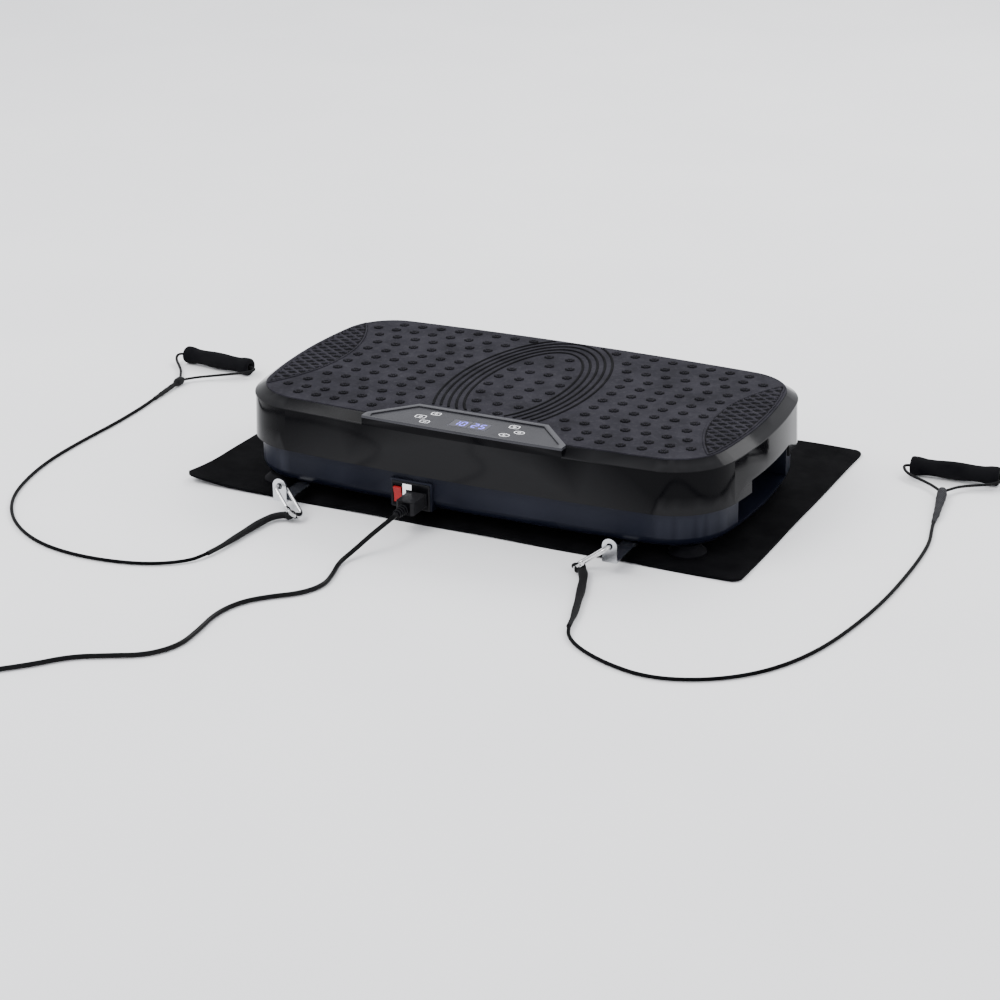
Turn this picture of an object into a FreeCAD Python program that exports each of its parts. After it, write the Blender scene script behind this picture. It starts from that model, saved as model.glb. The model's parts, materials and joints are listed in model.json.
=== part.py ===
import FreeCAD, Part
import math
import os

# Oscillating vibration plate: a platform that rocks on a low base tray, driven by a motor, a belt,
# an eccentric shaft and a connecting rod, with two elastic hand bands, a floor mat and a mains lead.
# Frame: millimetres, origin on the floor under the middle of the plate, +X along the plate to the
# right, +Y to the back, +Z up. The control panel and the mains inlet are at the front (-Y).

V = FreeCAD.Vector
X_AXIS = V(1, 0, 0)
Y_AXIS = V(0, 1, 0)
Z_AXIS = V(0, 0, 1)

# ---------------------------------------------------------------- driving dimensions
# Plate plan: a rectangle whose sides are long arcs and whose corners are rounded
LENGTH = 600.0
DEPTH = 332.0
LONG_SIDE_RADIUS = 3330.0
END_SIDE_RADIUS = 580.0
CORNER_RADIUS = 76.0

# Heights above the floor
TOP_Z = 115.0
SKIRT_BOTTOM_Z = 55.5
PAN_BOTTOM_Z = 14.6
PAN_TOP_Z = 78.0

# Floor mat
MAT_LENGTH = 680.0
MAT_DEPTH = 406.0
MAT_T = 3.0
MAT_CENTRE_X = -12.0
MAT_CENTRE_Y = 32.0
MAT_CORNER_RADIUS = 12.0

# Upper shell
SHELL_WALL = 3.0
DECK_T = 3.5
TREAD_T = 3.0
RIM_WIDTH = 13.0
RIM_DROP = 9.7
RIM_STEP = 0.9
RIM_NOSE = 1.5
SKIRT_FLARE = 1.4
TREAD_GAP = 0.3
TREAD_BELOW_RIM = 1.4
SHELL_CAVITY_TOP_INSET = 14.0
SHELL_SHOULDER_DROP = 15.0
CUTOUT_HALF_WIDTH = 58.0
CUTOUT_HEIGHT = 14.0

# Tread studs and the rows they stand in
STUD_PITCH = 24.1
STUD_RADIUS = 4.8
STUD_HEIGHT = 0.4

# Control panel
FASCIA_BACK_HALF = 79.0
FASCIA_FRONT_HALF = 121.0
FASCIA_BACK_Y = 61.0
FASCIA_SIDE_END_Y = 14.0
FASCIA_BORDER = 6.5
FASCIA_RECESS = 1.2
FASCIA_FRONT_LAND = 4.5
WINDOW_LENGTH = 47.0
WINDOW_DEPTH = 22.0
WINDOW_T = 1.6
WINDOW_GAP = 0.15
WINDOW_FROM_FRONT = 28.0
BOARD_HOLE_LENGTH = 60.0
BOARD_HOLE_DEPTH = 26.0
BOARD_LENGTH = 140.0
BOARD_DEPTH = 30.0
BOARD_T = 1.6

# Base pan
PAN_INSET = 6.6
PAN_WALL = 3.0
PAN_EDGE_RADIUS = 12.0
GRIP_HALF_WIDTH = 74.0
GRIP_LIP_Z = 25.0
GRIP_DEPTH = 50.0
INLET_BOSS_FRONT = 2.5

# Feet
FOOT_X = 250.0
FOOT_Y = 122.0
FOOT_CUP_RADIUS = 21.0
FOOT_NECK_RADIUS = 14.0
FOOT_STEM_RADIUS = 5.0
FOOT_STEM_GAP = 0.15

# Screws, one size throughout
SCREW_HEAD_RADIUS = 3.8
SCREW_HEAD_H = 1.8
SCREW_SHANK_RADIUS = 2.0
SCREW_GAP = 0.15
SCREW_GRIP = 2.5

# Chassis plate and the rocking bearings
CHASSIS_LENGTH = 460.0
CHASSIS_DEPTH = 250.0
CHASSIS_T = 2.5
PIVOT_Z = 76.0
PIVOT_PIN_RADIUS = 7.0
PIVOT_BLOCK_Y = 106.0
PIVOT_BLOCK_T = 16.0
PIVOT_BUSH_WALL = 4.0
BRACKET_T = 5.0
BRACKET_GAP = 2.0
RUNNING_GAP = 0.05

# Platform steelwork
DECK_PLATE_T = 2.0
DECK_PLATE_EDGE = 26.0
RAIL_LENGTH = 500.0
RAIL_WIDTH = 40.0
RAIL_HEIGHT = 10.0
RAIL_WALL = 2.0

# Eccentric shaft and connecting rod
CRANK_X = 120.0
CRANK_Z = 53.0
CRANK_THROW = 2.0
JOURNAL_RADIUS = 8.5
ECCENTRIC_RADIUS = 11.0
ECCENTRIC_WIDTH = 18.0
CRANK_BLOCK_Y = 27.0
CRANK_BLOCK_T = 14.0
CRANK_BEARING_WALL = 7.5
ROD_THICKNESS = 14.0
ROD_BIG_RADIUS = 20.0
ROD_BEARING_WALL = 4.0
ROD_SMALL_RADIUS = 13.0
ROD_SMALL_BORE = 9.0
ROD_BEAM_WIDTH = 13.0
WRIST_Z = 89.0
WRIST_PIN_RADIUS = 4.0
ROD_CHEEK_T = 4.0
ROD_SIDE_GAP = 2.0

# Motor and belt drive
MOTOR_X = -140.0
MOTOR_Z = 56.0
MOTOR_RADIUS = 34.0
MOTOR_FRONT_Y = -45.0
MOTOR_LENGTH = 120.0
MOTOR_SHAFT_RADIUS = 5.0
MOTOR_SHAFT_GAP = 0.3
BELT_Y = -61.0
BELT_WIDTH = 12.0
BELT_T = 2.5
BELT_GAP = 0.3
CRANK_PULLEY_RADIUS = 27.0
MOTOR_PULLEY_RADIUS = 13.5
PULLEY_FLANGE = 2.5
PULLEY_FLANGE_T = 1.5
POWER_BOARD_X = 160.0
POWER_BOARD_Y = -106.0
POWER_BOARD_SIZE = (58.0, 84.0, 1.6)
POWER_BOARD_POST = 6.0

# Mains inlet, its rocker switch and the connector in it
INLET_CENTRE_X = -61.0
INLET_CENTRE_Z = 30.0
INLET_LENGTH = 47.0
INLET_HEIGHT = 30.0
INLET_FLANGE_T = 2.0
INLET_BODY_DEPTH = 32.0
INLET_BODY_LENGTH = 43.0
INLET_BODY_HEIGHT = 24.0
SOCKET_X = -53.0
SOCKET_LENGTH = 24.0
SOCKET_HEIGHT = 16.5
SOCKET_DEPTH = 16.0
SOCKET_Z = 27.5
CONNECTOR_GAP = 0.3
CONNECTOR_BODY_DEPTH = 30.0
CONNECTOR_RELIEF_LENGTH = 20.0
ROCKER_X = -77.0
ROCKER_WIDTH = 9.6
ROCKER_HEIGHT = 18.0
ROCKER_DEPTH = 8.0
ROCKER_PIVOT_DEPTH = 5.0
ROCKER_TILT = 8.0
ROCKER_GAP = 0.5

# Hook lugs for the hand bands: bent strips under the pan
LUG_X = {"left": -206.0, "right": 194.5}
LUG_FRONT_Y = -203.0
LUG_BACK_Y = -121.0
LUG_WIDTH = 17.0
LUG_HEIGHT = 27.0
LUG_T = 2.0
LUG_HOLE_RADIUS = 3.7
LUG_HOLE_Z = 31.0
LUG_SCREW_Y = (-141.0, -129.0)

# Snap hooks
HOOK_WIRE_RADIUS = 2.2
HOOK_REACH = 45.0
HOOK_BEND_RADIUS = 8.0
HOOK_GATE_START = 14.0
HOOK_GATE_PIVOT = 34.0
HOOK_GATE_RADIUS = 1.9
HOOK_EYE_T = 1.6
HOOK_FORK_GAP = 0.15
HOOK_PIN_RADIUS = 0.8
HOOK_STRAP_GAP = 0.3
HOOK_AIM = {"left": V(34, -20, -24), "right": V(-34, -10, -25)}

# Hand bands
STRAP_RADIUS = 4.2
STRAP_EYE_INNER = 3.6
STRAP_EYE_OUTER = 6.0
STRAP_EYE_WIDTH = 8.0
BAND_RADIUS = 2.0
LOOP_RADIUS = 1.6
GRIP_LENGTH = 102.0
GRIP_END_RADIUS = 11.0
GRIP_WAIST_RADIUS = 9.6
GRIP_MIDDLE_RADIUS = 10.2
GRIP_FLARE = 11.0
GRIP_BORE_RADIUS = 4.5
GRIP_CENTRE = {"left": V(-521, 174.5, GRIP_END_RADIUS), "right": V(448, 200, GRIP_END_RADIUS)}
GRIP_TURN = {"left": -5.2, "right": 4.4}

# Power cord
CORD_RADIUS = 2.6
COIL_CENTRE = V(-362.0, -695.0, 0)
COIL_MID_RADIUS = 39.5
COIL_SECTION_WIDTH = 18.0
COIL_SECTION_HEIGHT = 10.8
TIE_WIDTH = 12.0
TIE_T = 1.2
TIE_SLACK = 0.8
PLUG_RADIUS = 18.5
PLUG_BODY_LENGTH = 34.0

# Routes of the free cords, point by point on the floor; z is the centre line's height
STRAP_ROUTE = {
    "left": [V(-190, -221.5, 6.4), V(-200, -229, 5.6), V(-205, -247, 4.8), V(-207, -272, 4.4),
             V(-208.5, -299, 4.4), V(-210, -324, 4.3), V(-213.5, -343, 4.2)],
    "right": [V(170.5, -218, 6), V(178, -232.5, 5.2), V(185, -251, 4.6), V(195.5, -283, 4.4),
              V(205, -313, 4.3), V(210, -332, 4.3), V(213, -346, 4.2)],
}
BAND_ROUTE = {
    "left": [V(-213.5, -343, 4.2), V(-223, -367, 2.8), V(-261, -392, 2.1), V(-321, -403, 2.1),
             V(-378, -398, 2.1), V(-425, -379, 2.1), V(-469, -345, 2.1), V(-503, -297, 2.1),
             V(-522, -238, 2.1), V(-531, -178, 2.1), V(-531, -114, 2.1), V(-528, -52, 2.1), V(-529, 4, 2.1),
             V(-531.5, 40, 2.6)],
    "right": [V(213, -346, 4.2), V(221, -365, 2.8), V(242, -384, 2.1), V(279, -403, 2.1), V(325, -414, 2.1),
              V(371, -401, 2.1), V(411, -372, 2.1), V(440, -331, 2.1), V(460, -278, 2.1), V(472, -213, 2.1),
              V(479, -148, 2.1), V(480.5, -88, 2.1), V(480, -34, 2.1), V(476.5, 12, 2.1), V(468.5, 45, 2.3),
              V(464.5, 64, 2.9)],
}
# The sleeve or knot that joins a band to its handle: centre points and radii
SLEEVE_ROUTE = {
    "left": [(V(-531.5, 40, 2.6), 2.4), (V(-532.7, 66, 3.6), 2.9), (V(-533.5, 90, 4.8), 3),
             (V(-533.6, 95.5, 5.4), 5.2), (V(-534, 104, 5.4), 5.2), (V(-534.6, 108.5, 5.2), 3.4)],
    "right": [(V(464.5, 64, 2.9), 2.5), (V(461.5, 86, 4.4), 3.8), (V(451.5, 138, 5.8), 5.7),
              (V(449.3, 146, 6), 5), (V(448.5, 150, 6.2), 4.2)],
}
# Legs of the handle loops in the grip's own frame: along the grip, from it towards the band, and up
LOOP_ROUTE = {
    "left": [[V(-9.5, 68.5, 5.2), V(-19, 55.5, 4.6), V(-31.5, 38.5, 4), V(-46, 24, 4), V(-58, 14, 6),
              V(-63.5, 5.5, 9), V(-59, 0.5, 11), V(-47, 0, 11)],
             [V(-6, 68.5, 5.2), V(2, 53.5, 5), V(15, 42.5, 5.5), V(30, 31, 6.5), V(45, 22, 8),
              V(57.5, 14.5, 9.5), V(62, 6, 10.8), V(56, 0.5, 11), V(45, 0, 11)]],
    "right": [[V(-7, 51.5, 6.2), V(-15, 41, 5.6), V(-26.5, 31.5, 5.6), V(-39, 24.5, 6.5), V(-48.5, 19.5, 7.5),
               V(-55.5, 12, 9), V(-58.5, 4.5, 10.6), V(-55, 0.5, 11), V(-44, 0, 11)],
             [V(0, 52, 6.2), V(7, 39.5, 6), V(16, 29.5, 5.6), V(28.5, 23.5, 6), V(42.5, 19.5, 7.5),
              V(54, 14, 9.5), V(59, 6.5, 10.8), V(55, 0.5, 11), V(44, 0, 11)]],
}
CORD_ROUTE = [V(-53.5, -236, 26.5), V(-61.5, -257, 18.5), V(-71, -278, 7.4), V(-75, -303, 2.9),
              V(-67, -329, 2.7), V(-61, -359, 2.7), V(-73, -387, 2.7), V(-99, -408, 2.7), V(-119, -432, 2.7),
              V(-127, -466, 2.7), V(-122, -506, 2.7), V(-120, -544, 2.7), V(-138, -576, 2.7),
              V(-171, -593, 2.7), V(-204, -611, 2.7), V(-230, -643, 2.7), V(-259, -670, 2.7),
              V(-285, -703, 2.7), V(-311, -721, 2.7), V(-336, -732.5, 2.7)]
PLUG_LEAD = [V(-388, -730, 8), V(-407, -716, 7), V(-427, -706, 5.6), V(-447, -698, 6.5), V(-466, -691, 11),
             V(-484, -685, 16.6), V(-500, -680, 19)]

os.makedirs("parts", exist_ok=True)


# ---------------------------------------------------------------- shape helpers
def box(x0, x1, y0, y1, z0, z1):
    return Part.makeBox(x1 - x0, y1 - y0, z1 - z0, V(x0, y0, z0))


def cylinder(base, axis, radius, length):
    return Part.makeCylinder(radius, length, base, axis)


def ring(base, axis, outer, inner, length):
    return cylinder(base, axis, outer, length).cut(cylinder(base, axis, inner, length))


def joined(shapes):
    result = shapes[0]
    if len(shapes) > 1:
        result = shapes[0].multiFuse(shapes[1:])
    return result.removeSplitter()


def less(shape, tools):
    return shape.cut(tools) if tools else shape


def polygon_prism(points, z0, z1):
    corners = [V(x, y, z0) for x, y in points]
    wire = Part.makePolygon(corners + corners[:1])
    return Part.Face(wire).extrude(V(0, 0, z1 - z0))


def rounded_box(x0, x1, y0, y1, z0, z1, radius):
    solid = box(x0, x1, y0, y1, z0, z1)
    upright = [e for e in solid.Edges if abs(e.tangentAt(e.FirstParameter).z) > 0.99]
    return solid.makeFillet(radius, upright)


def unit(vector):
    copy = V(vector)
    copy.normalize()
    return copy


def arc_edge(start, middle, end):
    return Part.Arc(start, middle, end).toShape()


def screw(head_base, direction):
    """A pan-head screw: the head stands on head_base, the shank runs along direction."""
    way = unit(direction)
    head = cylinder(head_base - way * SCREW_HEAD_H, way, SCREW_HEAD_RADIUS, SCREW_HEAD_H)
    shank = cylinder(head_base, way, SCREW_SHANK_RADIUS, 2 * SCREW_GRIP - 0.5)
    slot = box(-2.4, 2.4, -0.5, 0.5, 0, 0.8)
    slot.Placement = FreeCAD.Placement(head_base - way * SCREW_HEAD_H, FreeCAD.Rotation(Z_AXIS, way))
    return joined([head, shank]).cut(slot)


def screw_hole(head_base, direction):
    return cylinder(head_base, unit(direction), SCREW_SHANK_RADIUS + SCREW_GAP, 2 * SCREW_GRIP - 0.3)


# ---------------------------------------------------------------- plan outline of the plate
def corner_geometry():
    """Centre of the corner arc at +X +Y and the directions of its two tangent points."""
    long_centre = V(0, DEPTH / 2 - LONG_SIDE_RADIUS, 0)
    end_centre = V(LENGTH / 2 - END_SIDE_RADIUS, 0, 0)
    long_r = LONG_SIDE_RADIUS - CORNER_RADIUS
    end_r = END_SIDE_RADIUS - CORNER_RADIUS
    between = end_centre - long_centre
    along = (between.Length ** 2 + long_r ** 2 - end_r ** 2) / (2 * between.Length)
    across = math.sqrt(long_r ** 2 - along ** 2)
    way = unit(between)
    side = V(-way.y, way.x, 0)
    choices = [long_centre + way * along + side * across * s for s in (1, -1)]
    centre = max(choices, key=lambda p: p.x + p.y)
    return centre, unit(centre - end_centre), unit(centre - long_centre)


CORNER, TO_END, TO_LONG = corner_geometry()


def plan_wire(inset, z):
    """The plate's outline moved inwards by inset, at height z."""
    radius = CORNER_RADIUS - inset
    half_x = LENGTH / 2 - inset
    half_y = DEPTH / 2 - inset

    def at(direction, sx, sy):
        point = CORNER + direction * radius
        return V(point.x * sx, point.y * sy, z)

    middle = unit(TO_END + TO_LONG)
    edges = []
    for sx, sy in ((1, 1), (-1, 1), (-1, -1), (1, -1)):
        corner = [at(TO_END, sx, sy), at(middle, sx, sy), at(TO_LONG, sx, sy)]
        if sx * sy < 0:
            corner.reverse()
        edges.append(arc_edge(*corner))
        if sx * sy > 0:
            edges.append(arc_edge(corner[2], V(0, half_y * sy, z), at(TO_LONG, -sx, sy)))
        else:
            edges.append(arc_edge(corner[2], V(half_x * sx, 0, z), at(TO_END, sx, -sy)))
    return Part.Wire(edges)


def plan_prism(inset, z0, z1):
    return Part.Face(plan_wire(inset, z0)).extrude(V(0, 0, z1 - z0))


def plan_stack(levels):
    """A solid through the outline at several (inset, z) levels, straight between them."""
    return Part.makeLoft([plan_wire(inset, z) for inset, z in levels], True, True)


# ---------------------------------------------------------------- tubes along a route
def tube(name, points, radius):
    """A round tube along straight runs joined by tangent arcs; prints its length and tightest bend."""
    edges = []
    start = points[0]
    radii = []
    for before, here, after in zip(points, points[1:], points[2:]):
        way_in = unit(here - before)
        way_out = unit(after - here)
        turn = way_in.getAngle(way_out)
        reach = 0.45 * min((here - before).Length, (after - here).Length)
        bend = reach / math.tan(turn / 2)
        first = here - way_in * reach
        last = here + way_out * reach
        inward = unit(way_out - way_in)
        centre = here + inward * (bend / math.cos(turn / 2))
        edges.append(Part.LineSegment(start, first).toShape())
        edges.append(arc_edge(first, centre - inward * bend, last))
        start = last
        radii.append(bend)
    edges.append(Part.LineSegment(start, points[-1]).toShape())
    path = Part.Wire(edges)
    profile = Part.Wire(Part.makeCircle(radius, points[0], unit(points[1] - points[0])))
    solid = path.makePipeShell([profile], True, False)
    print("%-16s length %7.1f  tightest bend %5.1f" % (name, path.Length, min(radii)))
    return solid


# ---------------------------------------------------------------- floor mat and base pan
def make_floor_mat():
    half_x = MAT_LENGTH / 2
    half_y = MAT_DEPTH / 2
    return rounded_box(MAT_CENTRE_X - half_x, MAT_CENTRE_X + half_x, MAT_CENTRE_Y - half_y,
                       MAT_CENTRE_Y + half_y, 0, MAT_T, MAT_CORNER_RADIUS)


PAN_FLOOR_Z = PAN_BOTTOM_Z + PAN_WALL
CHASSIS_TOP_Z = PAN_FLOOR_Z + CHASSIS_T
GRIP_BACK_X = LENGTH / 2 - GRIP_DEPTH
INLET_FACE_Y = -DEPTH / 2 + INLET_BOSS_FRONT
CHASSIS_SCREWS = [V(sx * (CHASSIS_LENGTH / 2 - 14), sy * (CHASSIS_DEPTH / 2 - 14), CHASSIS_TOP_Z)
                  for sx in (-1, -0.35, 0.35, 1) for sy in (-1, 1)]
LUG_SCREWS = {side: [V(LUG_X[side], y, PAN_BOTTOM_Z - LUG_T) for y in LUG_SCREW_Y] for side in LUG_X}
FEET = {"front_left": (-1, -1), "front_right": (1, -1), "rear_left": (-1, 1), "rear_right": (1, 1)}


def bottom_edges(solid, z):
    return [e for e in solid.Edges if abs(e.BoundBox.ZMin - z) < 1e-4 and abs(e.BoundBox.ZMax - z) < 1e-4]


def make_base_pan():
    outer = plan_prism(PAN_INSET, PAN_BOTTOM_Z, PAN_TOP_Z)
    outer = outer.makeFillet(PAN_EDGE_RADIUS, bottom_edges(outer, PAN_BOTTOM_Z))
    inner = plan_prism(PAN_INSET + PAN_WALL, PAN_FLOOR_Z, PAN_TOP_Z + 10)
    inner = inner.makeFillet(PAN_EDGE_RADIUS - PAN_WALL, bottom_edges(inner, PAN_FLOOR_Z))
    pockets = []
    for side in (-1, 1):
        near = sorted((side * (GRIP_BACK_X - PAN_WALL), side * LENGTH))
        walls = box(near[0], near[1], -GRIP_HALF_WIDTH - PAN_WALL, GRIP_HALF_WIDTH + PAN_WALL,
                    PAN_BOTTOM_Z, PAN_TOP_Z)
        pockets.append(walls.common(outer))
    boss = box(INLET_CENTRE_X - INLET_LENGTH / 2 - 2, INLET_CENTRE_X + INLET_LENGTH / 2 + 2, INLET_FACE_Y,
               INLET_FACE_Y + 14, PAN_BOTTOM_Z, INLET_CENTRE_Z + INLET_HEIGHT / 2 + 2)
    pan = joined([outer.cut(inner)] + pockets + [boss.cut(inner)])
    cuts = []
    for side in (-1, 1):
        span = sorted((side * GRIP_BACK_X, side * LENGTH))
        cuts.append(box(span[0], span[1], -GRIP_HALF_WIDTH, GRIP_HALF_WIDTH, GRIP_LIP_Z, PAN_TOP_Z + 1))
    half = INLET_BODY_LENGTH / 2 + CONNECTOR_GAP
    high = INLET_BODY_HEIGHT / 2 + CONNECTOR_GAP
    cuts.append(box(INLET_CENTRE_X - half, INLET_CENTRE_X + half, INLET_FACE_Y - 1, INLET_FACE_Y + 20,
                    INLET_CENTRE_Z - high, INLET_CENTRE_Z + high))
    for sx, sy in FEET.values():
        cuts.append(cylinder(V(sx * FOOT_X, sy * FOOT_Y, PAN_BOTTOM_Z - 1), Z_AXIS,
                             FOOT_STEM_RADIUS + FOOT_STEM_GAP, PAN_WALL + 4))
    cuts += [screw_hole(p, -Z_AXIS) for p in CHASSIS_SCREWS]
    cuts += [cylinder(p, Z_AXIS, SCREW_SHANK_RADIUS + SCREW_GAP, LUG_T + PAN_WALL + 1)
             for group in LUG_SCREWS.values() for p in group]
    return pan.cut(cuts)


def make_foot(sx, sy):
    """A suction foot: a cup, a neck and a stem that pops through the pan floor."""
    centre = V(sx * FOOT_X, sy * FOOT_Y, MAT_T)
    height = PAN_BOTTOM_Z - MAT_T
    cup = Part.makeCone(FOOT_CUP_RADIUS, FOOT_NECK_RADIUS, height - 5, centre + Z_AXIS * 2, Z_AXIS)
    lip = cylinder(centre, Z_AXIS, FOOT_CUP_RADIUS, 2)
    neck = cylinder(centre + Z_AXIS * (height - 3), Z_AXIS, FOOT_NECK_RADIUS, 3)
    stem = cylinder(centre + Z_AXIS * height, Z_AXIS, FOOT_STEM_RADIUS, PAN_WALL)
    barb = Part.makeCone(FOOT_STEM_RADIUS + 1.2, FOOT_STEM_RADIUS - 1.5, 4,
                         centre + Z_AXIS * (height + PAN_WALL + 0.05), Z_AXIS)
    hollow = Part.makeCone(FOOT_CUP_RADIUS - 3, 6, 5, centre, Z_AXIS)
    link = cylinder(centre + Z_AXIS * height, Z_AXIS, FOOT_STEM_RADIUS - 1, PAN_WALL + 1)
    return joined([lip, cup, neck, stem, link, barb]).cut(hollow)


def make_lug(side):
    """A strip screwed under the pan, bent up at its front end into a rounded eye."""
    x = LUG_X[side]
    z = PAN_BOTTOM_Z - LUG_T
    half = LUG_WIDTH / 2
    strip = box(x - half, x + half, LUG_FRONT_Y, LUG_BACK_Y, z, z + LUG_T)
    eye = box(x - half, x + half, LUG_FRONT_Y, LUG_FRONT_Y + LUG_T, z, z + LUG_HEIGHT - half)
    top = cylinder(V(x, LUG_FRONT_Y, z + LUG_HEIGHT - half), Y_AXIS, half, LUG_T)
    hole = cylinder(V(x, LUG_FRONT_Y - 1, LUG_HOLE_Z), Y_AXIS, LUG_HOLE_RADIUS, LUG_T + 2)
    holes = [screw_hole(p, Z_AXIS) for p in LUG_SCREWS[side]]
    return joined([strip, eye, top]).cut([hole] + holes)


def make_chassis_plate():
    plate = rounded_box(-CHASSIS_LENGTH / 2, CHASSIS_LENGTH / 2, -CHASSIS_DEPTH / 2, CHASSIS_DEPTH / 2,
                        PAN_FLOOR_Z, CHASSIS_TOP_Z, 18)
    return plate.cut([screw_hole(p, -Z_AXIS) for p in CHASSIS_SCREWS])


# ---------------------------------------------------------------- rocking bearings
def make_pivot_block(sy):
    y0 = sy * PIVOT_BLOCK_Y - PIVOT_BLOCK_T / 2
    bush_radius = PIVOT_PIN_RADIUS + RUNNING_GAP + PIVOT_BUSH_WALL
    foot = box(-32, 32, y0, y0 + PIVOT_BLOCK_T, CHASSIS_TOP_Z, CHASSIS_TOP_Z + 7)
    post = box(-16, 16, y0, y0 + PIVOT_BLOCK_T, CHASSIS_TOP_Z, PIVOT_Z)
    head = cylinder(V(0, y0, PIVOT_Z), Y_AXIS, 16, PIVOT_BLOCK_T)
    bore = cylinder(V(0, y0 - 1, PIVOT_Z), Y_AXIS, bush_radius, PIVOT_BLOCK_T + 2)
    return joined([foot, post, head]).cut(bore)


def make_pivot_bushes():
    outer = PIVOT_PIN_RADIUS + RUNNING_GAP + PIVOT_BUSH_WALL
    inner = PIVOT_PIN_RADIUS + RUNNING_GAP
    return Part.makeCompound([ring(V(0, sy * PIVOT_BLOCK_Y - PIVOT_BLOCK_T / 2, PIVOT_Z), Y_AXIS, outer, inner,
                                   PIVOT_BLOCK_T) for sy in (-1, 1)])


DECK_TOP_Z = TOP_Z - TREAD_T
DECK_BOTTOM_Z = DECK_TOP_Z - DECK_T
PLATE_BOTTOM_Z = DECK_BOTTOM_Z - DECK_PLATE_T
RAIL_BOTTOM_Z = PLATE_BOTTOM_Z - RAIL_HEIGHT
BRACKET_REACH = PIVOT_BLOCK_T / 2 + BRACKET_GAP + BRACKET_T


def make_pivot_bracket(sy):
    """A saddle under a rail, whose two cheeks hold the ends of a pivot pin."""
    y_mid = sy * PIVOT_BLOCK_Y
    cap = box(-20, 20, y_mid - BRACKET_REACH, y_mid + BRACKET_REACH, RAIL_BOTTOM_Z - 2, RAIL_BOTTOM_Z)
    cheeks = []
    for side in (-1, 1):
        y0 = y_mid + side * (BRACKET_REACH - BRACKET_T / 2) - BRACKET_T / 2
        cheeks.append(box(-20, 20, y0, y0 + BRACKET_T, PIVOT_Z, RAIL_BOTTOM_Z - 2))
        cheeks.append(cylinder(V(0, y0, PIVOT_Z), Y_AXIS, 13, BRACKET_T))
    bore = cylinder(V(0, y_mid - 30, PIVOT_Z), Y_AXIS, PIVOT_PIN_RADIUS, 60)
    return joined([cap] + cheeks).cut(bore)


def make_pivot_pins():
    length = 2 * BRACKET_REACH
    return Part.makeCompound([cylinder(V(0, sy * PIVOT_BLOCK_Y - length / 2, PIVOT_Z), Y_AXIS, PIVOT_PIN_RADIUS,
                                       length) for sy in (-1, 1)])


# ---------------------------------------------------------------- eccentric shaft and rod
BEARING_OUTER = JOURNAL_RADIUS + RUNNING_GAP + CRANK_BEARING_WALL
ROD_BORE = ECCENTRIC_RADIUS + RUNNING_GAP + ROD_BEARING_WALL
ECCENTRIC_X = CRANK_X + CRANK_THROW


def make_crank_block(sy):
    y0 = sy * CRANK_BLOCK_Y - CRANK_BLOCK_T / 2
    foot = box(CRANK_X - 34, CRANK_X + 34, y0, y0 + CRANK_BLOCK_T, CHASSIS_TOP_Z, CHASSIS_TOP_Z + 7)
    post = box(CRANK_X - 21, CRANK_X + 21, y0, y0 + CRANK_BLOCK_T, CHASSIS_TOP_Z, CRANK_Z)
    head = cylinder(V(CRANK_X, y0, CRANK_Z), Y_AXIS, 21, CRANK_BLOCK_T)
    bore = cylinder(V(CRANK_X, y0 - 1, CRANK_Z), Y_AXIS, BEARING_OUTER, CRANK_BLOCK_T + 2)
    return joined([foot, post, head]).cut(bore)


def make_crank_bearings():
    return Part.makeCompound([ring(V(CRANK_X, sy * CRANK_BLOCK_Y - CRANK_BLOCK_T / 2, CRANK_Z), Y_AXIS,
                                   BEARING_OUTER, JOURNAL_RADIUS + RUNNING_GAP, CRANK_BLOCK_T) for sy in (-1, 1)])


def make_crankshaft():
    start = BELT_Y - BELT_WIDTH / 2 - 4
    end = CRANK_BLOCK_Y + CRANK_BLOCK_T / 2 + 3
    shaft = cylinder(V(CRANK_X, start, CRANK_Z), Y_AXIS, JOURNAL_RADIUS, end - start)
    lobe = cylinder(V(ECCENTRIC_X, -ECCENTRIC_WIDTH / 2, CRANK_Z), Y_AXIS, ECCENTRIC_RADIUS, ECCENTRIC_WIDTH)
    return joined([shaft, lobe])


def make_pulley(x, z, radius, bore):
    half = BELT_WIDTH / 2 + 0.5
    rim = radius + PULLEY_FLANGE
    body = cylinder(V(x, BELT_Y - half, z), Y_AXIS, radius, 2 * half)
    flanges = [cylinder(V(x, y, z), Y_AXIS, rim, PULLEY_FLANGE_T)
               for y in (BELT_Y - half - PULLEY_FLANGE_T, BELT_Y + half)]
    hole = cylinder(V(x, BELT_Y - 20, z), Y_AXIS, bore, 40)
    return joined([body] + flanges).cut(hole)


def make_connecting_rod():
    half = ROD_THICKNESS / 2
    big = cylinder(V(ECCENTRIC_X, -half, CRANK_Z), Y_AXIS, ROD_BIG_RADIUS, ROD_THICKNESS)
    small = cylinder(V(CRANK_X, -half, WRIST_Z), Y_AXIS, ROD_SMALL_RADIUS, ROD_THICKNESS)
    beam = box(CRANK_X - ROD_BEAM_WIDTH / 2, CRANK_X + ROD_BEAM_WIDTH / 2, -half + 2, half - 2, CRANK_Z, WRIST_Z)
    big_bore = cylinder(V(ECCENTRIC_X, -half - 1, CRANK_Z), Y_AXIS, ROD_BORE, ROD_THICKNESS + 2)
    small_bore = cylinder(V(CRANK_X, -half - 1, WRIST_Z), Y_AXIS, ROD_SMALL_BORE, ROD_THICKNESS + 2)
    return joined([big, small, beam]).cut([big_bore, small_bore])


def make_rod_bearing():
    return ring(V(ECCENTRIC_X, -ROD_THICKNESS / 2, CRANK_Z), Y_AXIS, ROD_BORE, ECCENTRIC_RADIUS + RUNNING_GAP,
                ROD_THICKNESS)


CHEEK_IN = ROD_THICKNESS / 2 + ROD_SIDE_GAP
CHEEK_OUT = CHEEK_IN + ROD_CHEEK_T


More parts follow.
